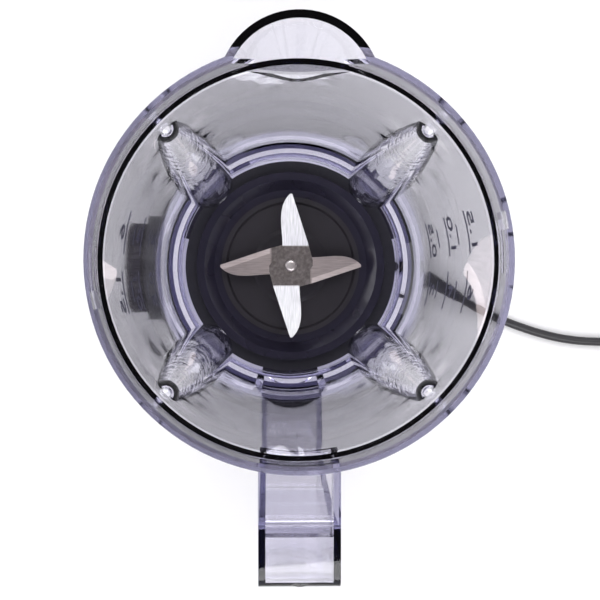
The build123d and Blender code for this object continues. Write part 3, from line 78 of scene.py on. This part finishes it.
def object_noise(mat, scale, detail=3.0, stretch=(1, 1, 1)):
    """Noise in the frame's own coordinates, stretched along the grain."""
    where = add(mat, "ShaderNodeTexCoord")
    mapping = add(mat, "ShaderNodeMapping")
    mapping.inputs["Scale"].default_value = stretch
    noise = add(mat, "ShaderNodeTexNoise")
    noise.inputs["Scale"].default_value = scale
    noise.inputs["Detail"].default_value = detail
    link(mat, where, "Object", mapping, "Vector")
    link(mat, mapping, "Vector", noise, "Vector")
    return noise


def ramp(mat, source, output, stops):
    """A colour ramp over a value."""
    node = add(mat, "ShaderNodeValToRGB")
    band = node.color_ramp
    while len(band.elements) < len(stops):
        band.elements.new(0.5)
    for element, (place, colour) in zip(band.elements, stops):
        element.position = place
        element.color = (*colour, 1.0)
    link(mat, source, output, node, "Fac")
    return node


def spread(mat, source, output, low, high, socket):
    """Maps a 0 to 1 value onto a shader socket."""
    node = add(mat, "ShaderNodeMapRange")
    node.inputs["To Min"].default_value = low
    node.inputs["To Max"].default_value = high
    link(mat, source, output, node, "Value")
    link(mat, node, "Result", mat.node_tree.nodes["Principled BSDF"], socket)


def bump(mat, source, output, distance, strength=0.3):
    """Fine relief from a value, distance metres deep."""
    node = add(mat, "ShaderNodeBump")
    node.inputs["Distance"].default_value = distance
    node.inputs["Strength"].default_value = strength
    link(mat, source, output, node, "Height")
    link(mat, node, "Normal", mat.node_tree.nodes["Principled BSDF"], "Normal")


def moulded(name, dark, light, roughness, grain, grain_depth, coat=0.0, gleam=0.5):
    """Moulded plastic: slight colour drift, a fine grain and uneven gloss."""
    mat = material(
        name, Roughness=roughness, Specular_IOR_Level=gleam,
        Coat_Weight=coat, Coat_Roughness=COAT_ROUGHNESS,
    )
    shader = mat.node_tree.nodes["Principled BSDF"]
    drift = object_noise(mat, DRIFT_SCALE)
    colour = ramp(mat, drift, "Fac", [(0.3, dark), (0.7, light)])
    link(mat, colour, "Color", shader, "Base Color")
    fine = object_noise(mat, grain, 2.0)
    spread(mat, fine, "Fac", roughness * 0.8, roughness * 1.2, "Roughness")
    bump(mat, fine, "Fac", grain_depth, 0.25)
    return mat


def metal(name, dark, light, roughness, stretch, scale=220.0, depth=0.00003):
    """Brushed metal with its grain along one direction."""
    mat = material(name, Metallic=1.0, Roughness=roughness)
    shader = mat.node_tree.nodes["Principled BSDF"]
    grain = object_noise(mat, scale, 4.0, stretch)
    colour = ramp(mat, grain, "Fac", [(0.25, dark), (0.75, light)])
    link(mat, colour, "Color", shader, "Base Color")
    spread(mat, grain, "Fac", roughness * 0.7, roughness * 1.35, "Roughness")
    bump(mat, grain, "Fac", depth, 0.3)
    return mat


FOLD = 0.0093              # from the axis to a blade's folds
FOLD_SOFT = 0.0004         # over which the finish changes there
WING_ROUGHNESS = 0.33
HUB_ROUGHNESS = 0.42
BRUSH_STRETCH = 14


def blade_steel(name, along, wing_dark, wing_light, hub_dark, hub_light):
    """Ground steel: brushed wings and a duller flat middle, split at the folds along one axis. The middle's
    dark brown colour is painted reflection of the dark space straight above.
    """
    mat = material(name, Metallic=1.0)
    shader = mat.node_tree.nodes["Principled BSDF"]
    where = add(mat, "ShaderNodeTexCoord")
    split = add(mat, "ShaderNodeSeparateXYZ")
    far = add(mat, "ShaderNodeMath", operation="ABSOLUTE")
    wing = add(mat, "ShaderNodeMapRange")
    wing.inputs["From Min"].default_value = FOLD - FOLD_SOFT
    wing.inputs["From Max"].default_value = FOLD + FOLD_SOFT
    link(mat, where, "Object", split, 0)
    link(mat, split, along, far, 0)
    link(mat, far, "Value", wing, "Value")
    stretch = (BRUSH_STRETCH, 1, 1) if along == "Y" else (1, BRUSH_STRETCH, 1)
    brushed = object_noise(mat, 160.0, 4.0, stretch)
    cloudy = object_noise(mat, 700.0, 5.0)
    wing_colour = ramp(mat, brushed, "Fac", [(0.3, wing_dark), (0.7, wing_light)])
    # the flat middle's dark brown colour is a painted reflection of the dark space overhead
    hub_colour = ramp(mat, cloudy, "Fac", [(0.35, hub_dark), (0.7, hub_light)])
    colour = add(mat, "ShaderNodeMix", data_type="RGBA")
    link(mat, wing, "Result", colour, MIX_FACTOR)
    link(mat, hub_colour, "Color", colour, MIX_A)
    link(mat, wing_colour, "Color", colour, MIX_B)
    link(mat, colour, MIX_RESULT, shader, "Base Color")
    gloss = add(mat, "ShaderNodeMapRange")
    gloss.inputs["To Min"].default_value = HUB_ROUGHNESS
    gloss.inputs["To Max"].default_value = WING_ROUGHNESS
    link(mat, wing, "Result", gloss, "Value")
    link(mat, gloss, "Result", shader, "Roughness")
    bump(mat, brushed, "Fac", 0.00002, 0.2)
    return mat


def clear_plastic(name, tint, shadow, depth_tint, density, ripple):
    """Clear moulding plastic that darkens along long paths. Shadow rays pass, tinted, to what is inside."""
    mat = material(name, Roughness=0.02, IOR=1.49, Transmission_Weight=1.0)
    shader = mat.node_tree.nodes["Principled BSDF"]
    flow = object_noise(mat, FLOW_SCALE, 2.0, (1, 1, 0.25))
    colour = ramp(mat, flow, "Fac", [(0.3, tint), (0.7, tuple(c * FLOW_SHADE for c in tint))])
    link(mat, colour, "Color", shader, "Base Color")
    bump(mat, flow, "Fac", ripple, 0.15)
    path = add(mat, "ShaderNodeLightPath")
    clear = add(mat, "ShaderNodeBsdfTransparent")
    clear.inputs["Color"].default_value = (*shadow, 1.0)
    mix = add(mat, "ShaderNodeMixShader")
    body = add(mat, "ShaderNodeVolumeAbsorption")
    body.inputs["Color"].default_value = (*depth_tint, 1.0)
    body.inputs["Density"].default_value = density
    output = mat.node_tree.nodes["Material Output"]
    link(mat, path, "Is Shadow Ray", mix, 0)
    link(mat, shader, "BSDF", mix, 1)
    link(mat, clear, "BSDF", mix, 2)
    link(mat, mix, "Shader", output, "Surface")
    link(mat, body, "Volume", output, "Volume")
    return mat


WHITE = moulded("white_shell", (0.74, 0.74, 0.77), (0.80, 0.80, 0.83), 0.16, 900.0, 0.000004, coat=0.6)
SEAT_WHITE = moulded("white_seat", (0.72, 0.72, 0.76), (0.78, 0.78, 0.82), 0.2, 900.0, 0.000004, coat=0.5)
BLACK = moulded(
    "black_gloss", (0.008, 0.007, 0.012), (0.014, 0.013, 0.020), 0.16, 700.0, 0.000006, coat=0.25, gleam=0.3,
)
SATIN_BLACK = moulded("black_satin", (0.018, 0.016, 0.020), (0.030, 0.027, 0.031), 0.38, 1400.0, 0.00002)
PANEL_GREY = moulded("panel_grey", (0.075, 0.073, 0.078), (0.10, 0.098, 0.104), 0.4, 1500.0, 0.00002)
KNOB_BLACK = moulded("knob_black", (0.020, 0.017, 0.019), (0.034, 0.029, 0.031), 0.42, 1300.0, 0.00003)
RUBBER = moulded("rubber_black", (0.012, 0.012, 0.014), (0.022, 0.022, 0.024), 0.62, 1100.0, 0.00003)
CORD_BLACK = moulded("cord_black", (0.010, 0.009, 0.012), (0.020, 0.018, 0.022), 0.42, 900.0, 0.00002)
DISC_DARK = moulded(
    "dish_dark", (0.010, 0.009, 0.010), (0.016, 0.014, 0.016), 0.46, 260.0, 0.00002, gleam=0.14,
)
# the upper wings are coloured far darker than steel, so that their brightly lit faces don't burn out:
# painted shade
WING_PAINTED_SHADE = ((0.22, 0.22, 0.225), (0.34, 0.34, 0.345))
# dark brown of the blades' flat middles: painted reflection of the dark space straight above, far darker
# than the steel
HUB_PAINTED_REFLECTION = ((0.085, 0.074, 0.068), (0.150, 0.134, 0.126))
BLADE_UPPER = blade_steel("blade_upper", "X", *WING_PAINTED_SHADE, *HUB_PAINTED_REFLECTION)
# the lower wings' brown tint, which the same steel on the upper blade lacks, stands in for their dim look
# from above: painted shade
BLADE_LOWER = blade_steel("blade_lower", "Y", (0.42, 0.36, 0.32), (0.58, 0.51, 0.47), *HUB_PAINTED_REFLECTION)
SPINDLE = metal("spindle_steel", (0.34, 0.30, 0.28), (0.55, 0.52, 0.50), 0.3, (1, 1, 1))
STEEL = metal("plated_steel", (0.50, 0.50, 0.51), (0.66, 0.66, 0.67), 0.3, (1, 1, 9))
LAMINATION = metal("lamination", (0.16, 0.16, 0.17), (0.28, 0.28, 0.29), 0.5, (1, 1, 40), 60.0)
BRASS = metal("nickel_brass", (0.62, 0.56, 0.40), (0.74, 0.68, 0.50), 0.25, (9, 1, 1))
BRONZE = metal("sintered_bronze", (0.42, 0.28, 0.14), (0.55, 0.38, 0.20), 0.45, (1, 1, 1), 700.0)
COPPER = metal("enamelled_copper", (0.36, 0.13, 0.05), (0.55, 0.22, 0.09), 0.35, (1, 1, 14), 120.0)
CARBON = moulded("carbon", (0.02, 0.02, 0.02), (0.04, 0.04, 0.04), 0.6, 900.0, 0.00002)
FAN = moulded("fan_natural", (0.62, 0.60, 0.54), (0.70, 0.68, 0.62), 0.4, 600.0, 0.00001)
TINT = (0.99, 0.985, 1.0)
SHADE = (0.98, 0.975, 0.99)
DEPTH_TINT = (0.22, 0.20, 0.46)
DEPTH_DENSITY = 52.0
CLEAR = clear_plastic("clear_jar", TINT, SHADE, DEPTH_TINT, DEPTH_DENSITY, 0.00004)
CLEAR_GRIP = clear_plastic("clear_grip", TINT, SHADE, DEPTH_TINT, DEPTH_DENSITY, 0.00003)
MARK_GREY = moulded("mark_grey", (0.10, 0.10, 0.13), (0.16, 0.16, 0.20), 0.5, 1200.0, 0.00001)
MARK_WHITE = moulded("mark_white", (0.72, 0.72, 0.73), (0.80, 0.80, 0.81), 0.5, 1200.0, 0.00001)

FINISH = {
    WHITE: ["base_housing"],
    SEAT_WHITE: ["jar_seat"],
    BLACK: ["blade_collar"],
    PANEL_GREY: ["front_panel", "dial_ring"],
    KNOB_BLACK: ["control_knob"],
    SATIN_BLACK: [
        "base_cover", "interlock_guide", "interlock_pin", "interlock_switch", "selector_switch",
        "brush_holders", "terminal_block", "cord_clamp", "driven_coupling", "drive_coupling",
    ],
    RUBBER: ["foot_ring", "collar_gasket", "motor_grommets", "spindle_seal", "cord_sleeve", "plug_body"],
    CORD_BLACK: ["cord_tube", "cord_coil", "cord_tail"],
    DISC_DARK: ["collar_disc"],
    BLADE_UPPER: ["upper_blade"],
    SPINDLE: ["spindle", "blade_washer"],
    BLADE_LOWER: ["lower_blade"],
    STEEL: [
        "cover_screws", "motor_screws", "clamp_screws", "tie_bolts", "tie_nuts", "stator_spacers",
        "knob_shaft", "motor_shaft", "selector_nut", "interlock_spring", "upper_bracket", "lower_bracket",
    ],
    LAMINATION: ["stator_core", "armature_core"],
    COPPER: ["field_windings", "armature_winding", "commutator"],
    BRONZE: ["motor_bushes", "spindle_bushes"],
    CARBON: ["carbon_brushes"],
    FAN: ["cooling_fan"],
    BRASS: ["plug_pins"],
    CLEAR: ["jar_body"],
    CLEAR_GRIP: ["jar_handle"],
}
for mat, names in FINISH.items():
    for name in names:
        for place in nodes[name].material_slots:
            place.material = mat

# ---------------------------------------------------------------- camera
RIM_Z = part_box("jar_body")[1].z
CAMERA_ABOVE_RIM = 0.444
CAMERA_AT = (0.0067, -0.0107)
LOOK_AT = (0.0133, 0.0)
camera_data = bpy.data.cameras.new("camera")
camera_data.sensor_width = 36.0
camera_data.lens = 79.92
camera = bpy.data.objects.new("camera", camera_data)
bpy.context.scene.collection.objects.link(camera)
stand = Vector((*CAMERA_AT, RIM_Z + CAMERA_ABOVE_RIM))
target = Vector((*LOOK_AT, RIM_Z))
ahead = (target - stand).normalized()
right = ahead.cross(Vector((-1, 0, 0))).normalized()
above = right.cross(ahead)
turn = Matrix((right, above, -ahead)).transposed().to_4x4()
camera.matrix_world = Matrix.Translation(stand) @ turn
bpy.context.scene.camera = camera

# ---------------------------------------------------------------- mains lead
CORD_R = 0.0025
COIL_AT = (0.012, 0.236)
SLEEVE_AT = Vector((0.0046, 0.085715, 0.016))
SLEEVE_TURN = math.radians(31)
SLEEVE_DROP = math.radians(14)
SLEEVE_WAY = Vector((
    math.cos(SLEEVE_DROP) * math.sin(SLEEVE_TURN),
    math.cos(SLEEVE_DROP) * math.cos(SLEEVE_TURN),
    -math.sin(SLEEVE_DROP),
))
INSIDE_RUN = 0.024
SLEEVE_RUN = 0.028
TABLE_RUN = 0.022
UPPER_Z = 0.0069           # the middle of the coil's upper turns
end_of_sleeve = SLEEVE_AT + SLEEVE_WAY * SLEEVE_RUN
table_way = Vector((math.sin(SLEEVE_TURN), math.cos(SLEEVE_TURN), 0))
on_table = end_of_sleeve + table_way * TABLE_RUN
on_table.z = CORD_R
lead = [
    SLEEVE_AT - SLEEVE_WAY * INSIDE_RUN,
    end_of_sleeve,
    on_table,
    Vector((0.0435, 0.168, CORD_R)),
    Vector((0.045, 0.203, CORD_R)),
]
TURNS = [(0.033, CORD_R), (0.028, CORD_R), (0.023, CORD_R), (0.0255, UPPER_Z), (0.0305, UPPER_Z)]
STEPS = 16                 # points in a turn
CHANGE = 3                 # of which the last few move over to the next turn
LAST_R = 0.0325
for i, (radius, height) in enumerate(TURNS):
    following = TURNS[min(i + 1, len(TURNS) - 1)]
    for k in range(STEPS):
        share = max(0.0, (k - STEPS + CHANGE) / CHANGE)
        r = radius + (following[0] - radius) * share
        z = height + (following[1] - height) * share
        angle = 2 * math.pi * k / STEPS
        lead.append(Vector((COIL_AT[0] + r * math.cos(angle), COIL_AT[1] + r * math.sin(angle), z)))
for k in range(3):
    angle = 2 * math.pi * k / STEPS
    x = COIL_AT[0] + LAST_R * math.cos(angle)
    y = COIL_AT[1] + LAST_R * math.sin(angle)
    lead.append(Vector((x, y, UPPER_Z)))
lead += [Vector((0.022, 0.2675, 0.0068)), Vector((0.006, 0.269, 0.00685)), Vector((-0.012, 0.269, 0.00685))]

flex_data = bpy.data.curves.new("mains_lead", "CURVE")
flex_data.dimensions = "3D"
flex_data.bevel_depth = CORD_R
flex_data.bevel_resolution = 5
flex_data.use_fill_caps = True
spline = flex_data.splines.new("NURBS")
spline.points.add(len(lead) - 1)
for point, where in zip(spline.points, lead):
    point.co = (*where, 1.0)
spline.order_u = 3
spline.use_endpoint_u = True
spline.resolution_u = 8
flex = bpy.data.objects.new("mains_lead", flex_data)
bpy.context.scene.collection.objects.link(flex)
flex_data.materials.append(CORD_BLACK)
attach(flex, "base")
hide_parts("cord_tube", "cord_coil", "cord_tail")


# ---------------------------------------------------------------- tie round the coil
def new_piece(name, mesh, body):
    """Puts a finished mesh in the scene as a piece that rides on a body."""
    piece = bpy.data.objects.new(name, mesh)
    bpy.context.scene.collection.objects.link(piece)
    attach(piece, body)


def band_piece(name, ring, width_way, width, thick, mat, body):
    """A thin closed band: ring is its middle line, width_way the direction of its width."""
    mesh = bpy.data.meshes.new(name)
    made = bmesh.new()
    rows = []
    count = len(ring)
    for i, here in enumerate(ring):
        along = (ring[(i + 1) % count] - ring[i - 1]).normalized()
        out = along.cross(width_way).normalized()
        side = width_way * (width / 2)
        face = out * (thick / 2)
        corners = [(-1, -1), (1, -1), (1, 1), (-1, 1)]
        rows.append([made.verts.new(here + side * a + face * b) for a, b in corners])
    for i, row in enumerate(rows):
        after = rows[(i + 1) % count]
        for k in range(4):
            made.faces.new((row[k], row[(k + 1) % 4], after[(k + 1) % 4], after[k]))
    bmesh.ops.recalc_face_normals(made, faces=made.faces)
    made.to_mesh(mesh)
    made.free()
    mesh.materials.append(mat)
    new_piece(name, mesh, body)


TIE_AT = math.radians(215)
TIE_HALF = (0.0082, 0.0052)
TIE_MID = (0.028, 0.0056)  # from the coil's axis, and above the table
TIE_STEPS = 40
TIE_SQUARENESS = 0.6       # 1 would be an ellipse
TIE_W = 0.005
TIE_T = 0.0007
away = Vector((math.cos(TIE_AT), math.sin(TIE_AT), 0))
round_coil = Vector((-away.y, away.x, 0))
centre = Vector((*COIL_AT, TIE_MID[1])) + away * TIE_MID[0]
ring = []
for k in range(TIE_STEPS):
    a = 2 * math.pi * k / TIE_STEPS
    across = math.copysign(abs(math.cos(a)) ** TIE_SQUARENESS, math.cos(a)) * TIE_HALF[0]
    up = math.copysign(abs(math.sin(a)) ** TIE_SQUARENESS, math.sin(a)) * TIE_HALF[1]
    ring.append(centre + away * across + Vector((0, 0, up)))
band_piece("coil_tie", ring, round_coil, TIE_W, TIE_T, RUBBER, "base")


# ---------------------------------------------------------------- printed and moulded marks
def glyph_mesh(text, height):
    """A word's flat faces, one unit per metre, centred on the origin."""
    data = bpy.data.curves.new("word", "FONT")
    data.body = text
    data.size = height
    data.align_x = "CENTER"
    data.align_y = "CENTER"
    data.resolution_u = 3
    word = bpy.data.objects.new("word", data)
    bpy.context.scene.collection.objects.link(word)
    bpy.context.view_layer.update()
    shaped = word.evaluated_get(bpy.context.evaluated_depsgraph_get())
    mesh = bpy.data.meshes.new_from_object(shaped)
    bpy.data.objects.remove(word)
    return mesh


def bar_mesh(width, height, steps=8):
    """A flat bar, cut into steps so that it can bend."""
    mesh = bpy.data.meshes.new("bar")
    corners = []
    for i in range(steps + 1):
        x = width * (i / steps - 0.5)
        corners += [(x, -height / 2, 0), (x, height / 2, 0)]
    faces = [(2 * i, 2 * i + 2, 2 * i + 3, 2 * i + 1) for i in range(steps)]
    mesh.from_pydata(corners, [], faces)
    return mesh


def marks_piece(name, flats, place, lift, mat, body):
    """Thin raised marks. place turns each point of a flat mesh into a point and an outward way."""
    made = bmesh.new()
    for flat, spot in flats:
        part = bmesh.new()
        part.from_mesh(flat)
        low = {}
        high = {}
        for vert in part.verts:
            where, out = place(vert.co.x, vert.co.y, spot)
            low[vert.index] = made.verts.new(where)
            high[vert.index] = made.verts.new(where + out * lift)
        for face in part.faces:
            loop = [v.index for v in face.verts]
            made.faces.new([high[i] for i in loop])
            made.faces.new([low[i] for i in reversed(loop)])
        for edge in part.edges:
            if len(edge.link_faces) == 1:
                a, b = (v.index for v in edge.verts)
                made.faces.new((low[a], low[b], high[b], high[a]))
        part.free()
    bmesh.ops.recalc_face_normals(made, faces=made.faces)
    mesh = bpy.data.meshes.new(name)
    made.to_mesh(mesh)
    made.free()
    mesh.materials.append(mat)
    new_piece(name, mesh, body)


jar = nodes["jar_body"]
FLOOR_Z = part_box("blade_collar")[1].z
REACH = 0.2                # from where a ray starts to the middle of the object
MARK_LIFT = 0.00025
WALL_R = 0.064             # the jar's wall, halfway up
BORE_AT_FLOOR = 0.0574
BORE_TAPER = 0.0562
LITRE = 0.001
GLYPH_H = 0.0135
GLYPH_UP = 0.0085
FULL_BAR = (0.016, 0.0014)
HALF_BAR = (0.008, 0.0012)
HALF_STEP = 0.25           # litres
SCALES = [
    (math.radians(100), ["0.5", "1.0", "1.5"], (0.5, 1.0, 1.5)),
    (math.radians(80), ["2", "4", "6"], (0.48, 0.96, 1.44)),
    (math.radians(280), ["0.5", "1.0", "1.5"], (0.5, 1.0, 1.5)),
    (math.radians(260), ["2", "4", "6"], (0.48, 0.96, 1.44)),
]


def on_jar(x, y, spot):
    """A point on the outside of the jar's wall; spot is the angle from +X and the height."""
    angle = spot[0] + x / WALL_R
    out = Vector((math.cos(angle), math.sin(angle), 0))
    where = jar.ray_cast(out * REACH + Vector((0, 0, spot[1] + y)), -out)[1]
    return where, out


def fill_height(litres):
    """How high that much liquid stands in the jar, from the wall's radius at the floor and its taper."""
    z = FLOOR_Z
    left = litres * LITRE
    step = 0.0005
    while left > 0:
        radius = BORE_AT_FLOOR + (z - FLOOR_Z) * BORE_TAPER
        left -= math.pi * radius ** 2 * step
        z += step
    return z


flats = []
for angle, words, amounts in SCALES:
    for word, amount in zip(words, amounts):
        height = fill_height(amount)
        flats.append((bar_mesh(*FULL_BAR), (angle, height)))
        flats.append((glyph_mesh(word, GLYPH_H), (angle, height + GLYPH_UP)))
        if amount != amounts[0]:
            flats.append((bar_mesh(*HALF_BAR), (angle, fill_height(amount - HALF_STEP))))
marks_piece("graduations", flats, on_jar, MARK_LIFT, MARK_GREY, "jar")

# dial: ticks on the ring and numbers on the panel
panel = nodes["front_panel"]
ring_node = nodes["dial_ring"]
dial_low, dial_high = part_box("dial_ring")
DIAL_X = (dial_low.x + dial_high.x) / 2
DIAL_Z = (dial_low.z + dial_high.z) / 2
DIAL_R = (dial_high.x - dial_low.x) / 2
FRONT = Vector((0, -1, 0))
DIAL_LIFT = 0.00012
NUMBER_H = 0.0062
NUMBER_OUT = 0.0055        # from the ring's edge
TICK = (0.0009, 0.0024)
TICK_IN = 0.0020
STOPS = [math.radians(a) for a in (-45, 0, 45, 90, 135)]


def on_front(x, y, spot):
    """A point on the front face of the ring or the panel; spot is the turn from upright and the radius."""
    turned, radius, target = spot
    across = Vector((math.cos(turned), 0, -math.sin(turned)))
    up = Vector((math.sin(turned), 0, math.cos(turned)))
    flat = Vector((DIAL_X, 0, DIAL_Z)) + up * (radius + y) + across * x
    where = target.ray_cast(flat + FRONT * REACH, -FRONT)[1]
    return where, FRONT


def upright(word, turned, radius):
    """A number kept upright beside the dial."""
    mesh = glyph_mesh(word, NUMBER_H)
    for vert in mesh.vertices:
        x, y = vert.co.x, vert.co.y
        vert.co.x = x * math.cos(turned) - y * math.sin(turned)
        vert.co.y = x * math.sin(turned) + y * math.cos(turned)
    return mesh, (turned, radius, panel)


ticks = [(bar_mesh(*TICK, 1), (a, DIAL_R - TICK_IN, ring_node)) for a in STOPS]
marks_piece("dial_ticks", ticks, on_front, DIAL_LIFT, MARK_WHITE, "base")
# a pale inlay in the knob's pointer groove, which turns with the knob
knob = nodes["control_knob"]
knob_low, knob_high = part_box("control_knob")
KNOB_R = (knob_high.x - knob_low.x) / 2
POINTER_W = 0.0010
POINTER_LONG = KNOB_R * 0.42
POINTER_AT = KNOB_R * 0.62
POINTER_LIFT = 0.0002
pointer = [(bar_mesh(POINTER_W, POINTER_LONG, 1), (0.0, POINTER_AT, knob))]
marks_piece("knob_pointer", pointer, on_front, POINTER_LIFT, MARK_WHITE, "knob")
numbers = [upright(word, a, DIAL_R + NUMBER_OUT) for word, a in zip("0123", STOPS[1:])]
marks_piece("dial_numbers", numbers, on_front, DIAL_LIFT, MARK_WHITE, "base")


# ---------------------------------------------------------------- floor and light
def flat_material(name, colour, roughness):
    """A plain surface with a very faint change of tone."""
    mat = material(name, Roughness=roughness)
    shader = mat.node_tree.nodes["Principled BSDF"]
    faded = tuple(c * 0.99 for c in colour)
    tone = ramp(mat, object_noise(mat, 6.0), "Fac", [(0.3, colour), (0.7, faded)])
    link(mat, tone, "Color", shader, "Base Color")
    return mat


FLOOR_HALF = 6.0
floor_corners = [(x * FLOOR_HALF, y * FLOOR_HALF, 0) for x, y in ((-1, -1), (1, -1), (1, 1), (-1, 1))]
floor_mesh = bpy.data.meshes.new("floor")
floor_mesh.from_pydata(floor_corners, [], [(0, 1, 2, 3)])
floor_mesh.materials.append(flat_material("floor", (0.80, 0.795, 0.80), 0.7))
floor = bpy.data.objects.new("floor", floor_mesh)
bpy.context.scene.collection.objects.link(floor)


def softbox(name, place, aim, width, height, power):
    """A rectangular lamp that faces a point."""
    data = bpy.data.lights.new(name, "AREA")
    data.shape = "RECTANGLE"
    data.size = width
    data.size_y = height
    data.energy = power
    light = bpy.data.objects.new(name, data)
    bpy.context.scene.collection.objects.link(light)
    way = Vector(aim) - Vector(place)
    facing = way.to_track_quat("-Z", "Y").to_matrix().to_4x4()
    light.matrix_world = Matrix.Translation(place) @ facing


# two wide boxes, one each side of the axis, which leave the space straight above dark
softbox("spout_side", (-1.1, 0.0, 1.75), (0, 0, 0.2), 1.4, 1.5, 30)
softbox("handle_side", (1.1, 0.1, 1.75), (0, 0, 0.2), 1.4, 1.5, 30)
softbox("front_fill", (-0.3, -2.4, 0.9), (0, 0, 0.15), 1.6, 0.8, 9)

# soft light from all round: pale at the horizon, darker overhead
world = bpy.data.worlds.new("studio")
bpy.context.scene.world = world
world.use_nodes = True
sky = world.node_tree.nodes
where = sky.new("ShaderNodeTexCoord")
split = sky.new("ShaderNodeSeparateXYZ")
band = sky.new("ShaderNodeValToRGB")
SKY = [
    (0.0, (0.78, 0.78, 0.81)), (0.30, (0.70, 0.70, 0.73)), (0.6, (0.60, 0.60, 0.64)),
    (0.92, (0.09, 0.085, 0.10)),
]
while len(band.color_ramp.elements) < len(SKY):
    band.color_ramp.elements.new(0.5)
for element, (height, colour) in zip(band.color_ramp.elements, SKY):
    element.position = height
    element.color = (*colour, 1.0)
world.node_tree.links.new(where.outputs["Generated"], split.inputs[0])
world.node_tree.links.new(split.outputs["Z"], band.inputs["Fac"])
world.node_tree.links.new(band.outputs["Color"], sky["Background"].inputs["Color"])
sky["Background"].inputs["Strength"].default_value = 1.0
bpy.context.scene.view_settings.view_transform = "Standard"
